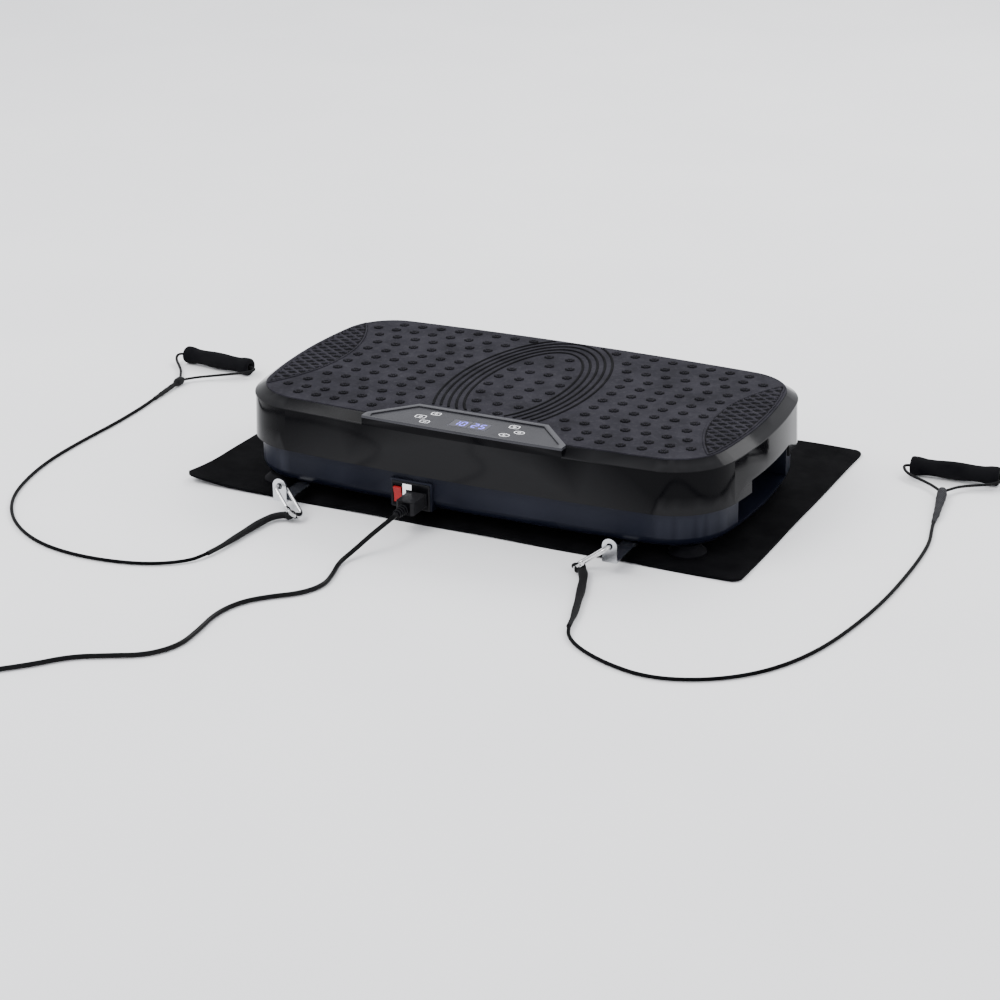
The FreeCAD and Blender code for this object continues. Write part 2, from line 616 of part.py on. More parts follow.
def make_rod_bracket():
    """A fork under the deck plate that carries the wrist pin of the connecting rod."""
    low = WRIST_Z - 9
    back = CRANK_X + ROD_SMALL_RADIUS + 6
    cheeks = [box(CRANK_X - 11, back, min(s * CHEEK_IN, s * CHEEK_OUT), max(s * CHEEK_IN, s * CHEEK_OUT), low,
                  PLATE_BOTTOM_Z) for s in (-1, 1)]
    web = box(back, back + 3, -CHEEK_OUT, CHEEK_OUT, low, PLATE_BOTTOM_Z)
    bore = cylinder(V(CRANK_X, -30, WRIST_Z), Y_AXIS, WRIST_PIN_RADIUS, 60)
    return joined(cheeks + [web]).cut(bore)


def make_wrist_pin():
    return cylinder(V(CRANK_X, -CHEEK_OUT, WRIST_Z), Y_AXIS, WRIST_PIN_RADIUS, 2 * CHEEK_OUT)


# ---------------------------------------------------------------- motor and belt
def make_motor_body():
    end = MOTOR_FRONT_Y + MOTOR_LENGTH
    can = cylinder(V(MOTOR_X, MOTOR_FRONT_Y + 22, MOTOR_Z), Y_AXIS, MOTOR_RADIUS - 1.5, MOTOR_LENGTH - 44)
    bells = [cylinder(V(MOTOR_X, y, MOTOR_Z), Y_AXIS, MOTOR_RADIUS, 22) for y in (MOTOR_FRONT_Y, end - 22)]
    nose = cylinder(V(MOTOR_X, MOTOR_FRONT_Y - 4, MOTOR_Z), Y_AXIS, 12, 4)
    fins = []
    for step in range(24):
        fin = box(MOTOR_RADIUS - 3, MOTOR_RADIUS - 0.4, MOTOR_FRONT_Y + 22, end - 22, -0.8, 0.8)
        fin.rotate(V(0, 0, 0), Y_AXIS, 15 * step)
        fin.translate(V(MOTOR_X, 0, MOTOR_Z))
        fins.append(fin)
    bore = cylinder(V(MOTOR_X, MOTOR_FRONT_Y - 5, MOTOR_Z), Y_AXIS, MOTOR_SHAFT_RADIUS + MOTOR_SHAFT_GAP, 46)
    return joined([can, nose] + bells + fins).cut(bore)


def make_motor_bracket():
    """A tray with two saddles that the motor's end bells lie in."""
    tray = box(MOTOR_X - 42, MOTOR_X + 42, MOTOR_FRONT_Y + 2, MOTOR_FRONT_Y + MOTOR_LENGTH - 2, CHASSIS_TOP_Z,
               CHASSIS_TOP_Z + 1.5)
    saddles = [box(MOTOR_X - 38, MOTOR_X + 38, y, y + 12, CHASSIS_TOP_Z, MOTOR_Z - 8)
               for y in (MOTOR_FRONT_Y + 5, MOTOR_FRONT_Y + MOTOR_LENGTH - 17)]
    seat = cylinder(V(MOTOR_X, MOTOR_FRONT_Y - 5, MOTOR_Z), Y_AXIS, MOTOR_RADIUS + 0.1, MOTOR_LENGTH + 10)
    return joined([tray] + saddles).cut(seat)


def make_motor_shaft():
    start = BELT_Y - BELT_WIDTH / 2 - 5
    return cylinder(V(MOTOR_X, start, MOTOR_Z), Y_AXIS, MOTOR_SHAFT_RADIUS, MOTOR_FRONT_Y + 38 - start)


def belt_loop(extra, y0, width):
    """The stadium around both pulleys, extra outside their faces."""
    big = V(CRANK_X, y0, CRANK_Z)
    small = V(MOTOR_X, y0, MOTOR_Z)
    big_r = CRANK_PULLEY_RADIUS + extra
    small_r = MOTOR_PULLEY_RADIUS + extra
    between = small - big
    lean = math.acos((big_r - small_r) / between.Length)
    base = math.atan2(between.z, between.x)

    def on(centre, radius, angle):
        return centre + V(math.cos(angle), 0, math.sin(angle)) * radius

    up_big, down_big = on(big, big_r, base + lean), on(big, big_r, base - lean)
    up_small, down_small = on(small, small_r, base + lean), on(small, small_r, base - lean)
    edges = [Part.LineSegment(up_big, up_small).toShape(),
             arc_edge(up_small, on(small, small_r, base), down_small),
             Part.LineSegment(down_small, down_big).toShape(),
             arc_edge(down_big, on(big, big_r, base + math.pi), up_big)]
    return Part.Face(Part.Wire(edges)).extrude(Y_AXIS * width)


def make_drive_belt():
    y0 = BELT_Y - BELT_WIDTH / 2
    return belt_loop(BELT_GAP + BELT_T, y0, BELT_WIDTH).cut(belt_loop(BELT_GAP, y0, BELT_WIDTH))


def make_power_board():
    """The mains board on its standoffs, with its transformer, heat sink, terminal block and capacitors."""
    x, y, z = POWER_BOARD_X, POWER_BOARD_Y, CHASSIS_TOP_Z
    length, depth, thick = POWER_BOARD_SIZE
    top = z + POWER_BOARD_POST + thick
    board = box(x, x + length, y, y + depth, top - thick, top)
    posts = [cylinder(V(px, py, z), Z_AXIS, 3, POWER_BOARD_POST) for px in (x + 5, x + length - 5)
             for py in (y + 5, y + depth - 5)]
    transformer = box(x + 6, x + 32, y + 8, y + 36, top, top + 21.4)
    heat_sink = box(x + 38, x + 52, y + 12, y + 62, top, top + 19.4)
    terminals = box(x + 8, x + 30, y + 66, y + 78, top, top + 11.4)
    caps = [cylinder(V(x + 13 + 15 * i, y + 51, top), Z_AXIS, 6.5, 20) for i in range(2)]
    return joined([board, transformer, heat_sink, terminals] + posts + caps)


# ---------------------------------------------------------------- platform shell, tread and panel
FASCIA_FRONT_Y = -DEPTH / 2
RIM_Z = TOP_Z - RIM_DROP
WINDOW_Y = FASCIA_FRONT_Y + WINDOW_FROM_FRONT
FIELD_BACK_Y = FASCIA_FRONT_Y + FASCIA_BACK_Y - FASCIA_BORDER


def fascia_plan(grow, front_grow=0.0):
    """Corners of the control panel: a trapezoid, its short side towards the plate's middle."""
    front = FASCIA_FRONT_Y - 10 - front_grow
    back = FASCIA_FRONT_Y + FASCIA_BACK_Y + grow
    knee = FASCIA_FRONT_Y + FASCIA_SIDE_END_Y
    short = FASCIA_BACK_HALF + 0.5 * grow
    long = FASCIA_FRONT_HALF + grow
    return [(-long, front), (long, front), (long, knee), (short, back), (-short, back), (-long, knee)]


def shell_outside():
    top = TOP_Z - TREAD_BELOW_RIM
    return plan_stack([(-SKIRT_FLARE / 2, SKIRT_BOTTOM_Z), (RIM_STEP, RIM_Z - RIM_NOSE), (0, RIM_Z - RIM_NOSE + 0.4),
                       (0.2, RIM_Z), (RIM_WIDTH, top)])


DECK_SCREWS = [V(x, y, PLATE_BOTTOM_Z) for x in (-240, -80, 80, 240) for y in (-72, 72)]


def make_upper_shell():
    shoulder = DECK_BOTTOM_Z - SHELL_SHOULDER_DROP + 7
    flare = SKIRT_FLARE / 2
    skirt_cavity = plan_stack([(SHELL_WALL - flare, SKIRT_BOTTOM_Z - 0.1), (SHELL_WALL + RIM_STEP, shoulder)])
    top_cavity = plan_stack([(SHELL_WALL + RIM_STEP, shoulder), (SHELL_CAVITY_TOP_INSET, DECK_BOTTOM_Z)])
    seat = polygon_prism(fascia_plan(0), RIM_Z - 3, DECK_TOP_Z).common(plan_prism(RIM_STEP, RIM_Z - 4, TOP_Z))
    # the sloping rim stops at the panel: the space above the panel's seat is cleared
    above_seat = polygon_prism(fascia_plan(0, 20), DECK_TOP_Z, TOP_Z + 5)
    beside_seat = polygon_prism(fascia_plan(0, 20), RIM_Z - RIM_NOSE - 0.1, DECK_TOP_Z)
    outside = shell_outside().cut(beside_seat)
    shell = joined([outside, seat])
    cuts = [above_seat, plan_prism(RIM_WIDTH, DECK_TOP_Z, TOP_Z + 5), skirt_cavity, top_cavity]
    cuts.append(box(-BOARD_HOLE_LENGTH / 2, BOARD_HOLE_LENGTH / 2, WINDOW_Y - BOARD_HOLE_DEPTH / 2,
                    WINDOW_Y + BOARD_HOLE_DEPTH / 2, DECK_BOTTOM_Z - 5, DECK_TOP_Z + 1))
    for side in (-1, 1):
        span = sorted((side * (LENGTH / 2 - 30), side * (LENGTH / 2 + 10)))
        cuts.append(box(span[0], span[1], -CUTOUT_HALF_WIDTH, CUTOUT_HALF_WIDTH, SKIRT_BOTTOM_Z - 1,
                        SKIRT_BOTTOM_Z + CUTOUT_HEIGHT))
    cuts += [screw_hole(p, Z_AXIS) for p in DECK_SCREWS]
    return shell.cut(cuts)


def stud_places():
    """Stud centres: rows over both halves, and short rows inside the middle ellipse."""
    half_rows = [(5.70, 2.22, 8, 2657.0), (4.60, 3.23, 8, 9000.0), (3.55, 3.68, 7, 0.0), (2.5, 4.22, 6, 0.0),
                 (1.5, 4.22, 6, 0.0), (0.5, 4.22, 6, 0.0), (-0.5, 4.22, 6, 0.0), (-1.5, 4.22, 6, 0.0),
                 (-2.5, 4.22, 6, 0.0), (-3.55, 3.68, 7, 0.0), (-4.57, 4.22, 7, 12000.0), (-5.48, 5.23, 5, 4500.0)]
    places = []
    for row, first, count, bow in half_rows:
        for step in range(count):
            x = (first + step) * STUD_PITCH
            drop = x * x / (2 * bow) if bow else 0.0
            y = row * STUD_PITCH - math.copysign(drop, row)
            places += [(x, y), (-x, y)]
    middle_rows = [(94.0, 2, 26.5), (66.0, 3, 26.0), (38.5, 4, 23.3), (12.0, 4, 25.7), (-15.0, 4, 25.7),
                   (-42.0, 4, 23.3), (-70.0, 3, 26.0), (-97.0, 2, 26.5)]
    for y, count, pitch in middle_rows:
        places += [((i - (count - 1) / 2) * pitch, y) for i in range(count)]
    return places


def make_tread_mat():
    sheet = plan_prism(RIM_WIDTH + TREAD_GAP, DECK_TOP_Z, TOP_Z)
    notch = polygon_prism(fascia_plan(TREAD_GAP), DECK_TOP_Z - 1, TOP_Z + 1)
    studs = [cylinder(V(x, y, TOP_Z - 0.5), Z_AXIS, STUD_RADIUS, STUD_HEIGHT + 0.5) for x, y in stud_places()]
    keep_out = polygon_prism(fascia_plan(2.0), DECK_TOP_Z, TOP_Z + 5)
    studs = [s for s in studs if s.common(keep_out).Volume < 1e-6]
    return joined([sheet.cut(notch)] + studs)


def make_control_fascia():
    plate = polygon_prism(fascia_plan(0), DECK_TOP_Z, TOP_Z).common(plan_prism(RIM_STEP, DECK_TOP_Z, TOP_Z))
    border = FASCIA_BORDER
    knee = FASCIA_FRONT_Y + FASCIA_SIDE_END_Y
    front = FASCIA_FRONT_Y + FASCIA_FRONT_LAND
    field = [(-FASCIA_FRONT_HALF + border + 3, front), (FASCIA_FRONT_HALF - border - 3, front),
             (FASCIA_FRONT_HALF - border - 1, knee - 1), (FASCIA_BACK_HALF - 0.4 * border, FIELD_BACK_Y),
             (-FASCIA_BACK_HALF + 0.4 * border, FIELD_BACK_Y), (-FASCIA_FRONT_HALF + border + 1, knee - 1)]
    recess = polygon_prism(field, TOP_Z - FASCIA_RECESS, TOP_Z + 1)
    half_x = WINDOW_LENGTH / 2
    half_y = WINDOW_DEPTH / 2
    seat = box(-half_x - WINDOW_GAP, half_x + WINDOW_GAP, WINDOW_Y - half_y - WINDOW_GAP,
               WINDOW_Y + half_y + WINDOW_GAP, DECK_TOP_Z - 1, TOP_Z + 1)
    return plate.cut([recess, seat])


def make_display_window():
    half_x = WINDOW_LENGTH / 2
    half_y = WINDOW_DEPTH / 2
    top = TOP_Z - FASCIA_RECESS
    return box(-half_x, half_x, WINDOW_Y - half_y, WINDOW_Y + half_y, top - WINDOW_T, top)


def make_control_board():
    """Display board: the digit block stands up through the shell into the panel."""
    z0 = DECK_BOTTOM_Z - 3.6
    board = box(-BOARD_LENGTH / 2, BOARD_LENGTH / 2, WINDOW_Y - BOARD_DEPTH / 2, WINDOW_Y + BOARD_DEPTH / 2, z0,
                z0 + BOARD_T)
    digits = box(-22, 22, WINDOW_Y - 9, WINDOW_Y + 9, z0, TOP_Z - FASCIA_RECESS - WINDOW_T - 0.2)
    posts = [cylinder(V(x, y, z0), Z_AXIS, 3, DECK_BOTTOM_Z - z0) for x in (-62, 62)
             for y in (WINDOW_Y - 9, WINDOW_Y + 9)]
    chip = box(40, 52, WINDOW_Y - 6, WINDOW_Y + 6, z0 - 2, z0)
    return joined([board, digits, chip] + posts)


def make_deck_plate():
    """The steel plate under the shell's deck, cut back behind the control board."""
    plate = plan_prism(DECK_PLATE_EDGE, PLATE_BOTTOM_Z, DECK_BOTTOM_Z)
    notch = box(-BOARD_LENGTH / 2 - 4, BOARD_LENGTH / 2 + 4, -DEPTH, WINDOW_Y + BOARD_DEPTH / 2 + 4,
                PLATE_BOTTOM_Z - 1, DECK_BOTTOM_Z + 1)
    return plate.cut([notch] + [screw_hole(p, Z_AXIS) for p in DECK_SCREWS])


def make_rail(sy):
    y = sy * PIVOT_BLOCK_Y
    half = RAIL_WIDTH / 2
    y_out = half - 6 if sy < 0 else half
    tube_out = box(-RAIL_LENGTH / 2, RAIL_LENGTH / 2, y - y_out, y + half, RAIL_BOTTOM_Z, PLATE_BOTTOM_Z)
    tube_in = box(-RAIL_LENGTH, RAIL_LENGTH, y - y_out + RAIL_WALL, y + half - RAIL_WALL,
                  RAIL_BOTTOM_Z + RAIL_WALL, PLATE_BOTTOM_Z - RAIL_WALL)
    return tube_out.cut(tube_in)


# ---------------------------------------------------------------- mains inlet and connector
FLANGE_FRONT_Y = INLET_FACE_Y - INLET_FLANGE_T


def make_mains_inlet():
    x, z = INLET_CENTRE_X, INLET_CENTRE_Z
    flange = rounded_box(x - INLET_LENGTH / 2, x + INLET_LENGTH / 2, FLANGE_FRONT_Y, INLET_FACE_Y,
                         z - INLET_HEIGHT / 2, z + INLET_HEIGHT / 2, 0.6)
    body = box(x - INLET_BODY_LENGTH / 2, x + INLET_BODY_LENGTH / 2, INLET_FACE_Y, INLET_FACE_Y + INLET_BODY_DEPTH,
               z - INLET_BODY_HEIGHT / 2, z + INLET_BODY_HEIGHT / 2)
    socket = box(SOCKET_X - SOCKET_LENGTH / 2, SOCKET_X + SOCKET_LENGTH / 2, FLANGE_FRONT_Y - 1,
                 FLANGE_FRONT_Y + SOCKET_DEPTH, SOCKET_Z - SOCKET_HEIGHT / 2, SOCKET_Z + SOCKET_HEIGHT / 2)
    well = box(ROCKER_X - ROCKER_WIDTH / 2 - ROCKER_GAP, ROCKER_X + ROCKER_WIDTH / 2 + ROCKER_GAP,
               FLANGE_FRONT_Y - 1, FLANGE_FRONT_Y + ROCKER_DEPTH + 3, z - ROCKER_HEIGHT / 2 - 1.6,
               z + ROCKER_HEIGHT / 2 + 1.6)
    blades = [box(SOCKET_X + dx - 1, SOCKET_X + dx + 1, FLANGE_FRONT_Y + 3, FLANGE_FRONT_Y + SOCKET_DEPTH + 1,
                  SOCKET_Z + dz - 2, SOCKET_Z + dz + 2) for dx, dz in ((-7, -1.5), (0, 2), (7, -1.5))]
    tabs = [box(x + dx - 3, x + dx + 3, INLET_FACE_Y + INLET_BODY_DEPTH, INLET_FACE_Y + INLET_BODY_DEPTH + 8,
                z - 0.4, z + 0.4) for dx in (-14, 0, 14)]
    return joined([joined([flange, body]).cut([socket, well])] + blades + tabs)


def make_switch_rocker():
    """The rocker, tipped to its off position about the pivot behind its face."""
    half = ROCKER_HEIGHT / 2
    front = FLANGE_FRONT_Y - 0.8
    z = INLET_CENTRE_Z
    profile = [V(0, front + 1.2, z), V(0, front, z + half), V(0, front + 3.4, z + half), V(0, front + ROCKER_DEPTH, z + 4),
               V(0, front + ROCKER_DEPTH, z - 4), V(0, front + 3.4, z - half), V(0, front, z - half)]
    face = Part.Face(Part.makePolygon(profile + profile[:1]))
    rocker = face.extrude(X_AXIS * ROCKER_WIDTH)
    rocker.translate(V(ROCKER_X - ROCKER_WIDTH / 2, 0, 0))
    rocker.rotate(V(ROCKER_X, FLANGE_FRONT_Y + ROCKER_PIVOT_DEPTH, z), X_AXIS, ROCKER_TILT)
    return rocker


CONNECTOR_REAR_Y = FLANGE_FRONT_Y - CONNECTOR_BODY_DEPTH
CONNECTOR_TIP = V(SOCKET_X, CONNECTOR_REAR_Y - CONNECTOR_RELIEF_LENGTH, SOCKET_Z)


def make_cord_connector():
    """The moulded appliance connector pushed into the inlet, with its tapered strain relief."""
    half_x = SOCKET_LENGTH / 2 - CONNECTOR_GAP
    half_z = SOCKET_HEIGHT / 2 - CONNECTOR_GAP
    nose = box(SOCKET_X - half_x, SOCKET_X + half_x, FLANGE_FRONT_Y - 0.2, FLANGE_FRONT_Y + SOCKET_DEPTH - 1,
               SOCKET_Z - half_z, SOCKET_Z + half_z)
    slots = [box(SOCKET_X + dx - 1.3, SOCKET_X + dx + 1.3, FLANGE_FRONT_Y + 2, FLANGE_FRONT_Y + SOCKET_DEPTH + 1,
                 SOCKET_Z + dz - 2.3, SOCKET_Z + dz + 2.3) for dx, dz in ((-7, -1.5), (0, 2), (7, -1.5))]
    rear = CONNECTOR_REAR_Y
    body = rounded_box(SOCKET_X - 11, SOCKET_X + 11, rear, FLANGE_FRONT_Y - 0.2, SOCKET_Z - 7.5, SOCKET_Z + 7.5, 4)
    relief = Part.makeCone(5.6, CORD_RADIUS + 0.6, CONNECTOR_RELIEF_LENGTH, V(SOCKET_X, rear, SOCKET_Z), -Y_AXIS)
    ribs = [cylinder(V(SOCKET_X, rear - 3 - 4.2 * i, SOCKET_Z), -Y_AXIS, 6.0 - 0.35 * i, 1.6) for i in range(4)]
    return joined([nose.cut(slots), body, relief] + ribs)


def make_coil():
    """Outer shape of the put-away turns of the power cord."""
    inner = COIL_MID_RADIUS - COIL_SECTION_WIDTH / 2
    outer = COIL_MID_RADIUS + COIL_SECTION_WIDTH / 2
    solid = ring(COIL_CENTRE, Z_AXIS, outer, inner, COIL_SECTION_HEIGHT)
    return solid.makeFillet(3.0, [e for e in solid.Edges if e.isClosed() and len(e.Vertexes) == 1])


def make_cord_tie():
    half = COIL_SECTION_WIDTH / 2 + TIE_SLACK
    out = box(-half - TIE_T, half + TIE_T, -TIE_WIDTH / 2, TIE_WIDTH / 2, 0, COIL_SECTION_HEIGHT + TIE_T)
    hole = box(-half, half, -TIE_WIDTH, TIE_WIDTH, -1, COIL_SECTION_HEIGHT)
    band = out.cut(hole)
    band.translate(COIL_CENTRE + V(COIL_MID_RADIUS, 0, 0))
    return band


def make_mains_plug():
    """A round-bodied two-pin earthed plug at the end of the lead."""
    start = PLUG_LEAD[-1]
    way = unit(V(start.x - PLUG_LEAD[-2].x, start.y - PLUG_LEAD[-2].y, 0))
    relief = Part.makeCone(CORD_RADIUS + 0.6, 6.5, 16, start, way)
    grip = Part.makeCone(9.0, 14.0, 14, start + way * 15, way)
    body = cylinder(start + way * 29, way, PLUG_RADIUS, PLUG_BODY_LENGTH - 18)
    nose = cylinder(start + way * (29 + PLUG_BODY_LENGTH - 18), way, PLUG_RADIUS - 2.2, 2)
    across = V(-way.y, way.x, 0)
    pins = [cylinder(start + way * (30 + PLUG_BODY_LENGTH - 18) + across * (9.5 * s), way, 2.4, 19.5) for s in (-1, 1)]
    return joined([relief, grip, body, nose] + pins)


# ---------------------------------------------------------------- snap hooks and hand bands
def hook_frame(side):
    """Origin in the lug's eye, the hook's long direction, its width direction and their normal."""
    origin = V(LUG_X[side], LUG_FRONT_Y + LUG_T / 2, LUG_HOLE_Z)
    down = unit(HOOK_AIM[side])
    wide = unit(Y_AXIS - down * Y_AXIS.dot(down))
    return origin, down, wide, unit(down.cross(wide))


def hook_wire(side, radius):
    """The bent wire: from the gate's fork round the lower bend, up the spine and over to the nose."""
    origin, down, wide, normal = hook_frame(side)

    def at(s, w):
        return origin + down * s + wide * w

    bend = HOOK_BEND_RADIUS
    low = HOOK_REACH - bend
    half_turn = bend * math.sqrt(0.5)
    fork_start = HOOK_GATE_PIVOT + 1.0
    edges = [Part.LineSegment(at(fork_start, -bend), at(low, -bend)).toShape(),
             arc_edge(at(low, -bend), at(low + half_turn, -half_turn), at(HOOK_REACH, 0)),
             arc_edge(at(HOOK_REACH, 0), at(low + half_turn, half_turn), at(low, bend)),
             Part.LineSegment(at(low, bend), at(bend, bend)).toShape(),
             arc_edge(at(bend, bend), at(bend - half_turn, half_turn), at(0, 0)),
             arc_edge(at(0, 0), at(bend - half_turn, -half_turn), at(bend, -bend)),
             Part.LineSegment(at(bend, -bend), at(HOOK_GATE_START - 0.3, -bend)).toShape()]
    profile = Part.Wire(Part.makeCircle(radius, at(fork_start, -bend), down))
    return Part.Wire(edges).makePipeShell([profile], True, False)


def make_snap_hook(side):
    """The wire with a fork of two cheeks and a pin, which holds the gate."""
    origin, down, wide, normal = hook_frame(side)
    wire = hook_wire(side, HOOK_WIRE_RADIUS)
    pivot = origin + down * HOOK_GATE_PIVOT - wide * HOOK_BEND_RADIUS
    slot_half = HOOK_EYE_T / 2 + HOOK_FORK_GAP
    cheeks = []
    for s in (-1, 1):
        base = pivot + normal * (slot_half if s > 0 else -slot_half - 0.9)
        cheeks.append(cylinder(base, normal, HOOK_WIRE_RADIUS, 0.9))
        arm = Part.makeBox(3.2, 2 * HOOK_WIRE_RADIUS, 0.9)
        turn = FreeCAD.Matrix(down.x, wide.x, normal.x, 0, down.y, wide.y, normal.y, 0, down.z, wide.z, normal.z, 0)
        arm = arm.transformGeometry(turn)
        arm.translate(base - wide * HOOK_WIRE_RADIUS)
        cheeks.append(arm)
    pin = cylinder(pivot - normal * (slot_half + 0.9), normal, HOOK_PIN_RADIUS, 2 * (slot_half + 0.9))
    room = cylinder(pivot - normal * slot_half, normal, HOOK_WIRE_RADIUS + 0.9, 2 * slot_half)
    return joined([wire.cut(room)] + cheeks + [pin])


def make_snap_gate(side):
    """The sprung gate: a short rod with a flat eye that turns on the fork's pin."""
    origin, down, wide, normal = hook_frame(side)
    bend = HOOK_BEND_RADIUS
    pivot = origin + down * HOOK_GATE_PIVOT - wide * bend
    length = HOOK_GATE_PIVOT - HOOK_GATE_START
    rod = cylinder(pivot - down * 3.4, -down, HOOK_GATE_RADIUS, length - 3.4)
    eye = cylinder(pivot - normal * (HOOK_EYE_T / 2), normal, HOOK_WIRE_RADIUS - 0.2, HOOK_EYE_T)
    neck = Part.makeBox(5.0, 3.0, HOOK_EYE_T)
    turn = FreeCAD.Matrix(-down.x, wide.x, normal.x, 0, -down.y, wide.y, normal.y, 0, -down.z, wide.z, normal.z, 0)
    neck = neck.transformGeometry(turn)
    neck.translate(pivot - wide * 1.5 - normal * (HOOK_EYE_T / 2))
    hole = cylinder(pivot - normal * 3, normal, HOOK_PIN_RADIUS + RUNNING_GAP, 6)
    return joined([rod, eye, neck]).cut(hole)


def make_band_strap(side):
    """The webbing sleeve: an eye round the hook's lower bend and a body that runs along the floor."""
    origin, down, wide, normal = hook_frame(side)
    centre = origin + down * HOOK_REACH
    body = tube("strap_" + side, STRAP_ROUTE[side], STRAP_RADIUS)
    lead = Part.makeCone(STRAP_RADIUS - 1.0, STRAP_RADIUS, 1.0, STRAP_ROUTE[side][0], unit(
        STRAP_ROUTE[side][1] - STRAP_ROUTE[side][0]))
    start = STRAP_ROUTE[side][0]
    link = cylinder(centre, start - centre, STRAP_RADIUS - 1.5, (start - centre).Length + 2)
    eye = cylinder(centre - wide * (STRAP_EYE_WIDTH / 2), wide, STRAP_EYE_OUTER, STRAP_EYE_WIDTH)
    hole = cylinder(centre - wide * STRAP_EYE_WIDTH, wide, STRAP_EYE_INNER, 2 * STRAP_EYE_WIDTH)
    floor = box(-900, 900, -900, 900, -50, 0)
    room = hook_wire(side, HOOK_WIRE_RADIUS + HOOK_STRAP_GAP)
    return joined([body, lead, link, eye]).cut([hole, floor, room])


def sleeve_solid(stations):
    """A straight-sided sleeve through (centre, radius) stations, each square to the route there."""
    centres = [centre for centre, radius in stations]
    ahead = centres[1:] + [centres[-1] * 2 - centres[-2]]
    behind = [centres[0] * 2 - centres[1]] + centres[:-1]
    rings = [Part.Wire(Part.makeCircle(radius, centre, unit(after - before)))
             for (centre, radius), before, after in zip(stations, behind, ahead)]
    return Part.makeLoft(rings, True, True)


def place_by_grip(shape, side):
    shape.rotate(V(0, 0, 0), Z_AXIS, GRIP_TURN[side])
    shape.translate(GRIP_CENTRE[side])
    return shape


def make_handle_loop(side):
    """The sleeve at the band's end and the two legs that run into the grip's ends."""
    base = V(0, 0, GRIP_END_RADIUS)
    sleeve = sleeve_solid(SLEEVE_ROUTE[side])
    legs = []
    for number, route in enumerate(LOOP_ROUTE[side]):
        local = [V(p.x, -p.y, p.z) - base for p in route]
        leg = tube("loop_%s_%d" % (side, number), local, LOOP_RADIUS)
        legs.append(place_by_grip(leg, side).cut(sleeve))
    return Part.makeCompound([sleeve] + legs)


def make_foam_grip(side):
    """A foam sleeve with flared ends, open through its length for the loop."""
    half = GRIP_LENGTH / 2
    profile = [V(-half, GRIP_BORE_RADIUS, 0), V(-half, GRIP_END_RADIUS - 1.5, 0), V(-half + 1.5, GRIP_END_RADIUS, 0),
               V(-half + GRIP_FLARE, GRIP_END_RADIUS, 0), V(-half + 2 * GRIP_FLARE, GRIP_WAIST_RADIUS, 0)]
    profile += [V(0, GRIP_MIDDLE_RADIUS, 0)]
    profile += [V(-p.x, p.y, 0) for p in reversed(profile[:-1])]
    face = Part.Face(Part.makePolygon(profile + profile[:1]))
    return place_by_grip(face.revolve(V(0, 0, 0), X_AXIS, 360), side)


# ---------------------------------------------------------------- write every node
def export(name, shape):
    solids = shape.Solids
    if not solids or not shape.isValid():
        raise ValueError("bad shape: " + name)
    result = solids[0] if len(solids) == 1 else Part.makeCompound(solids)
    result.exportStep("parts/%s.step" % name)
    box_ = result.BoundBox
    print("%-20s solids %2d  x %7.1f %7.1f  y %7.1f %7.1f  z %6.1f %6.1f" % (
        name, len(solids), box_.XMin, box_.XMax, box_.YMin, box_.YMax, box_.ZMin, box_.ZMax))


export("floor_mat", make_floor_mat())
export("base_pan", make_base_pan())
for foot_name, foot_signs in FEET.items():
    export("foot_" + foot_name, make_foot(*foot_signs))
base_screws = [screw(p, -Z_AXIS) for p in CHASSIS_SCREWS]
base_screws += [screw(p, Z_AXIS) for group in LUG_SCREWS.values() for p in group]
export("base_screws", Part.makeCompound(base_screws))
export("chassis_plate", make_chassis_plate())
for end_name, end_sign in (("front", -1), ("rear", 1)):
    export("pivot_block_" + end_name, make_pivot_block(end_sign))
    export("pivot_bracket_" + end_name, make_pivot_bracket(end_sign))
    export("crank_block_" + end_name, make_crank_block(end_sign))
    export("frame_rail_" + end_name, make_rail(end_sign))
export("pivot_bushes", make_pivot_bushes())
export("pivot_pins", make_pivot_pins())
export("crank_bearings", make_crank_bearings())
export("crankshaft", make_crankshaft())
export("crank_pulley", make_pulley(CRANK_X, CRANK_Z, CRANK_PULLEY_RADIUS, JOURNAL_RADIUS))
export("connecting_rod", make_connecting_rod())
export("rod_bearing", make_rod_bearing())
export("rod_bracket", make_rod_bracket())
export("wrist_pin", make_wrist_pin())
export("motor_body", make_motor_body())
export("motor_bracket", make_motor_bracket())
export("motor_shaft", make_motor_shaft())
export("motor_pulley", make_pulley(MOTOR_X, MOTOR_Z, MOTOR_PULLEY_RADIUS, MOTOR_SHAFT_RADIUS))
export("drive_belt", make_drive_belt())
export("power_board", make_power_board())
export("upper_shell", make_upper_shell())
export("tread_mat", make_tread_mat())
export("control_fascia", make_control_fascia())
export("display_window", make_display_window())
export("control_board", make_control_board())
export("deck_plate", make_deck_plate())
export("deck_screws", Part.makeCompound([screw(p, Z_AXIS) for p in DECK_SCREWS]))
export("mains_inlet", make_mains_inlet())
export("switch_rocker", make_switch_rocker())
export("cord_connector", make_cord_connector())
cord_coil = make_coil()
export("power_cord", tube("power_cord", [CONNECTOR_TIP] + CORD_ROUTE, CORD_RADIUS).cut(cord_coil))
export("power_cord_coil", cord_coil)
export("power_cord_end", tube("power_cord_end", PLUG_LEAD, CORD_RADIUS).cut(cord_coil))
export("cord_tie", make_cord_tie())
export("mains_plug", make_mains_plug())
for hand in ("left", "right"):
    export("band_lug_" + hand, make_lug(hand))
    export("snap_hook_" + hand, make_snap_hook(hand))
    export("snap_gate_" + hand, make_snap_gate(hand))
    export("band_strap_" + hand, make_band_strap(hand))
    export("band_cord_" + hand, tube("band_cord_" + hand, BAND_ROUTE[hand], BAND_RADIUS))
    export("handle_loop_" + hand, make_handle_loop(hand))
    export("foam_grip_" + hand, make_foam_grip(hand))
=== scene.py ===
import json
import math

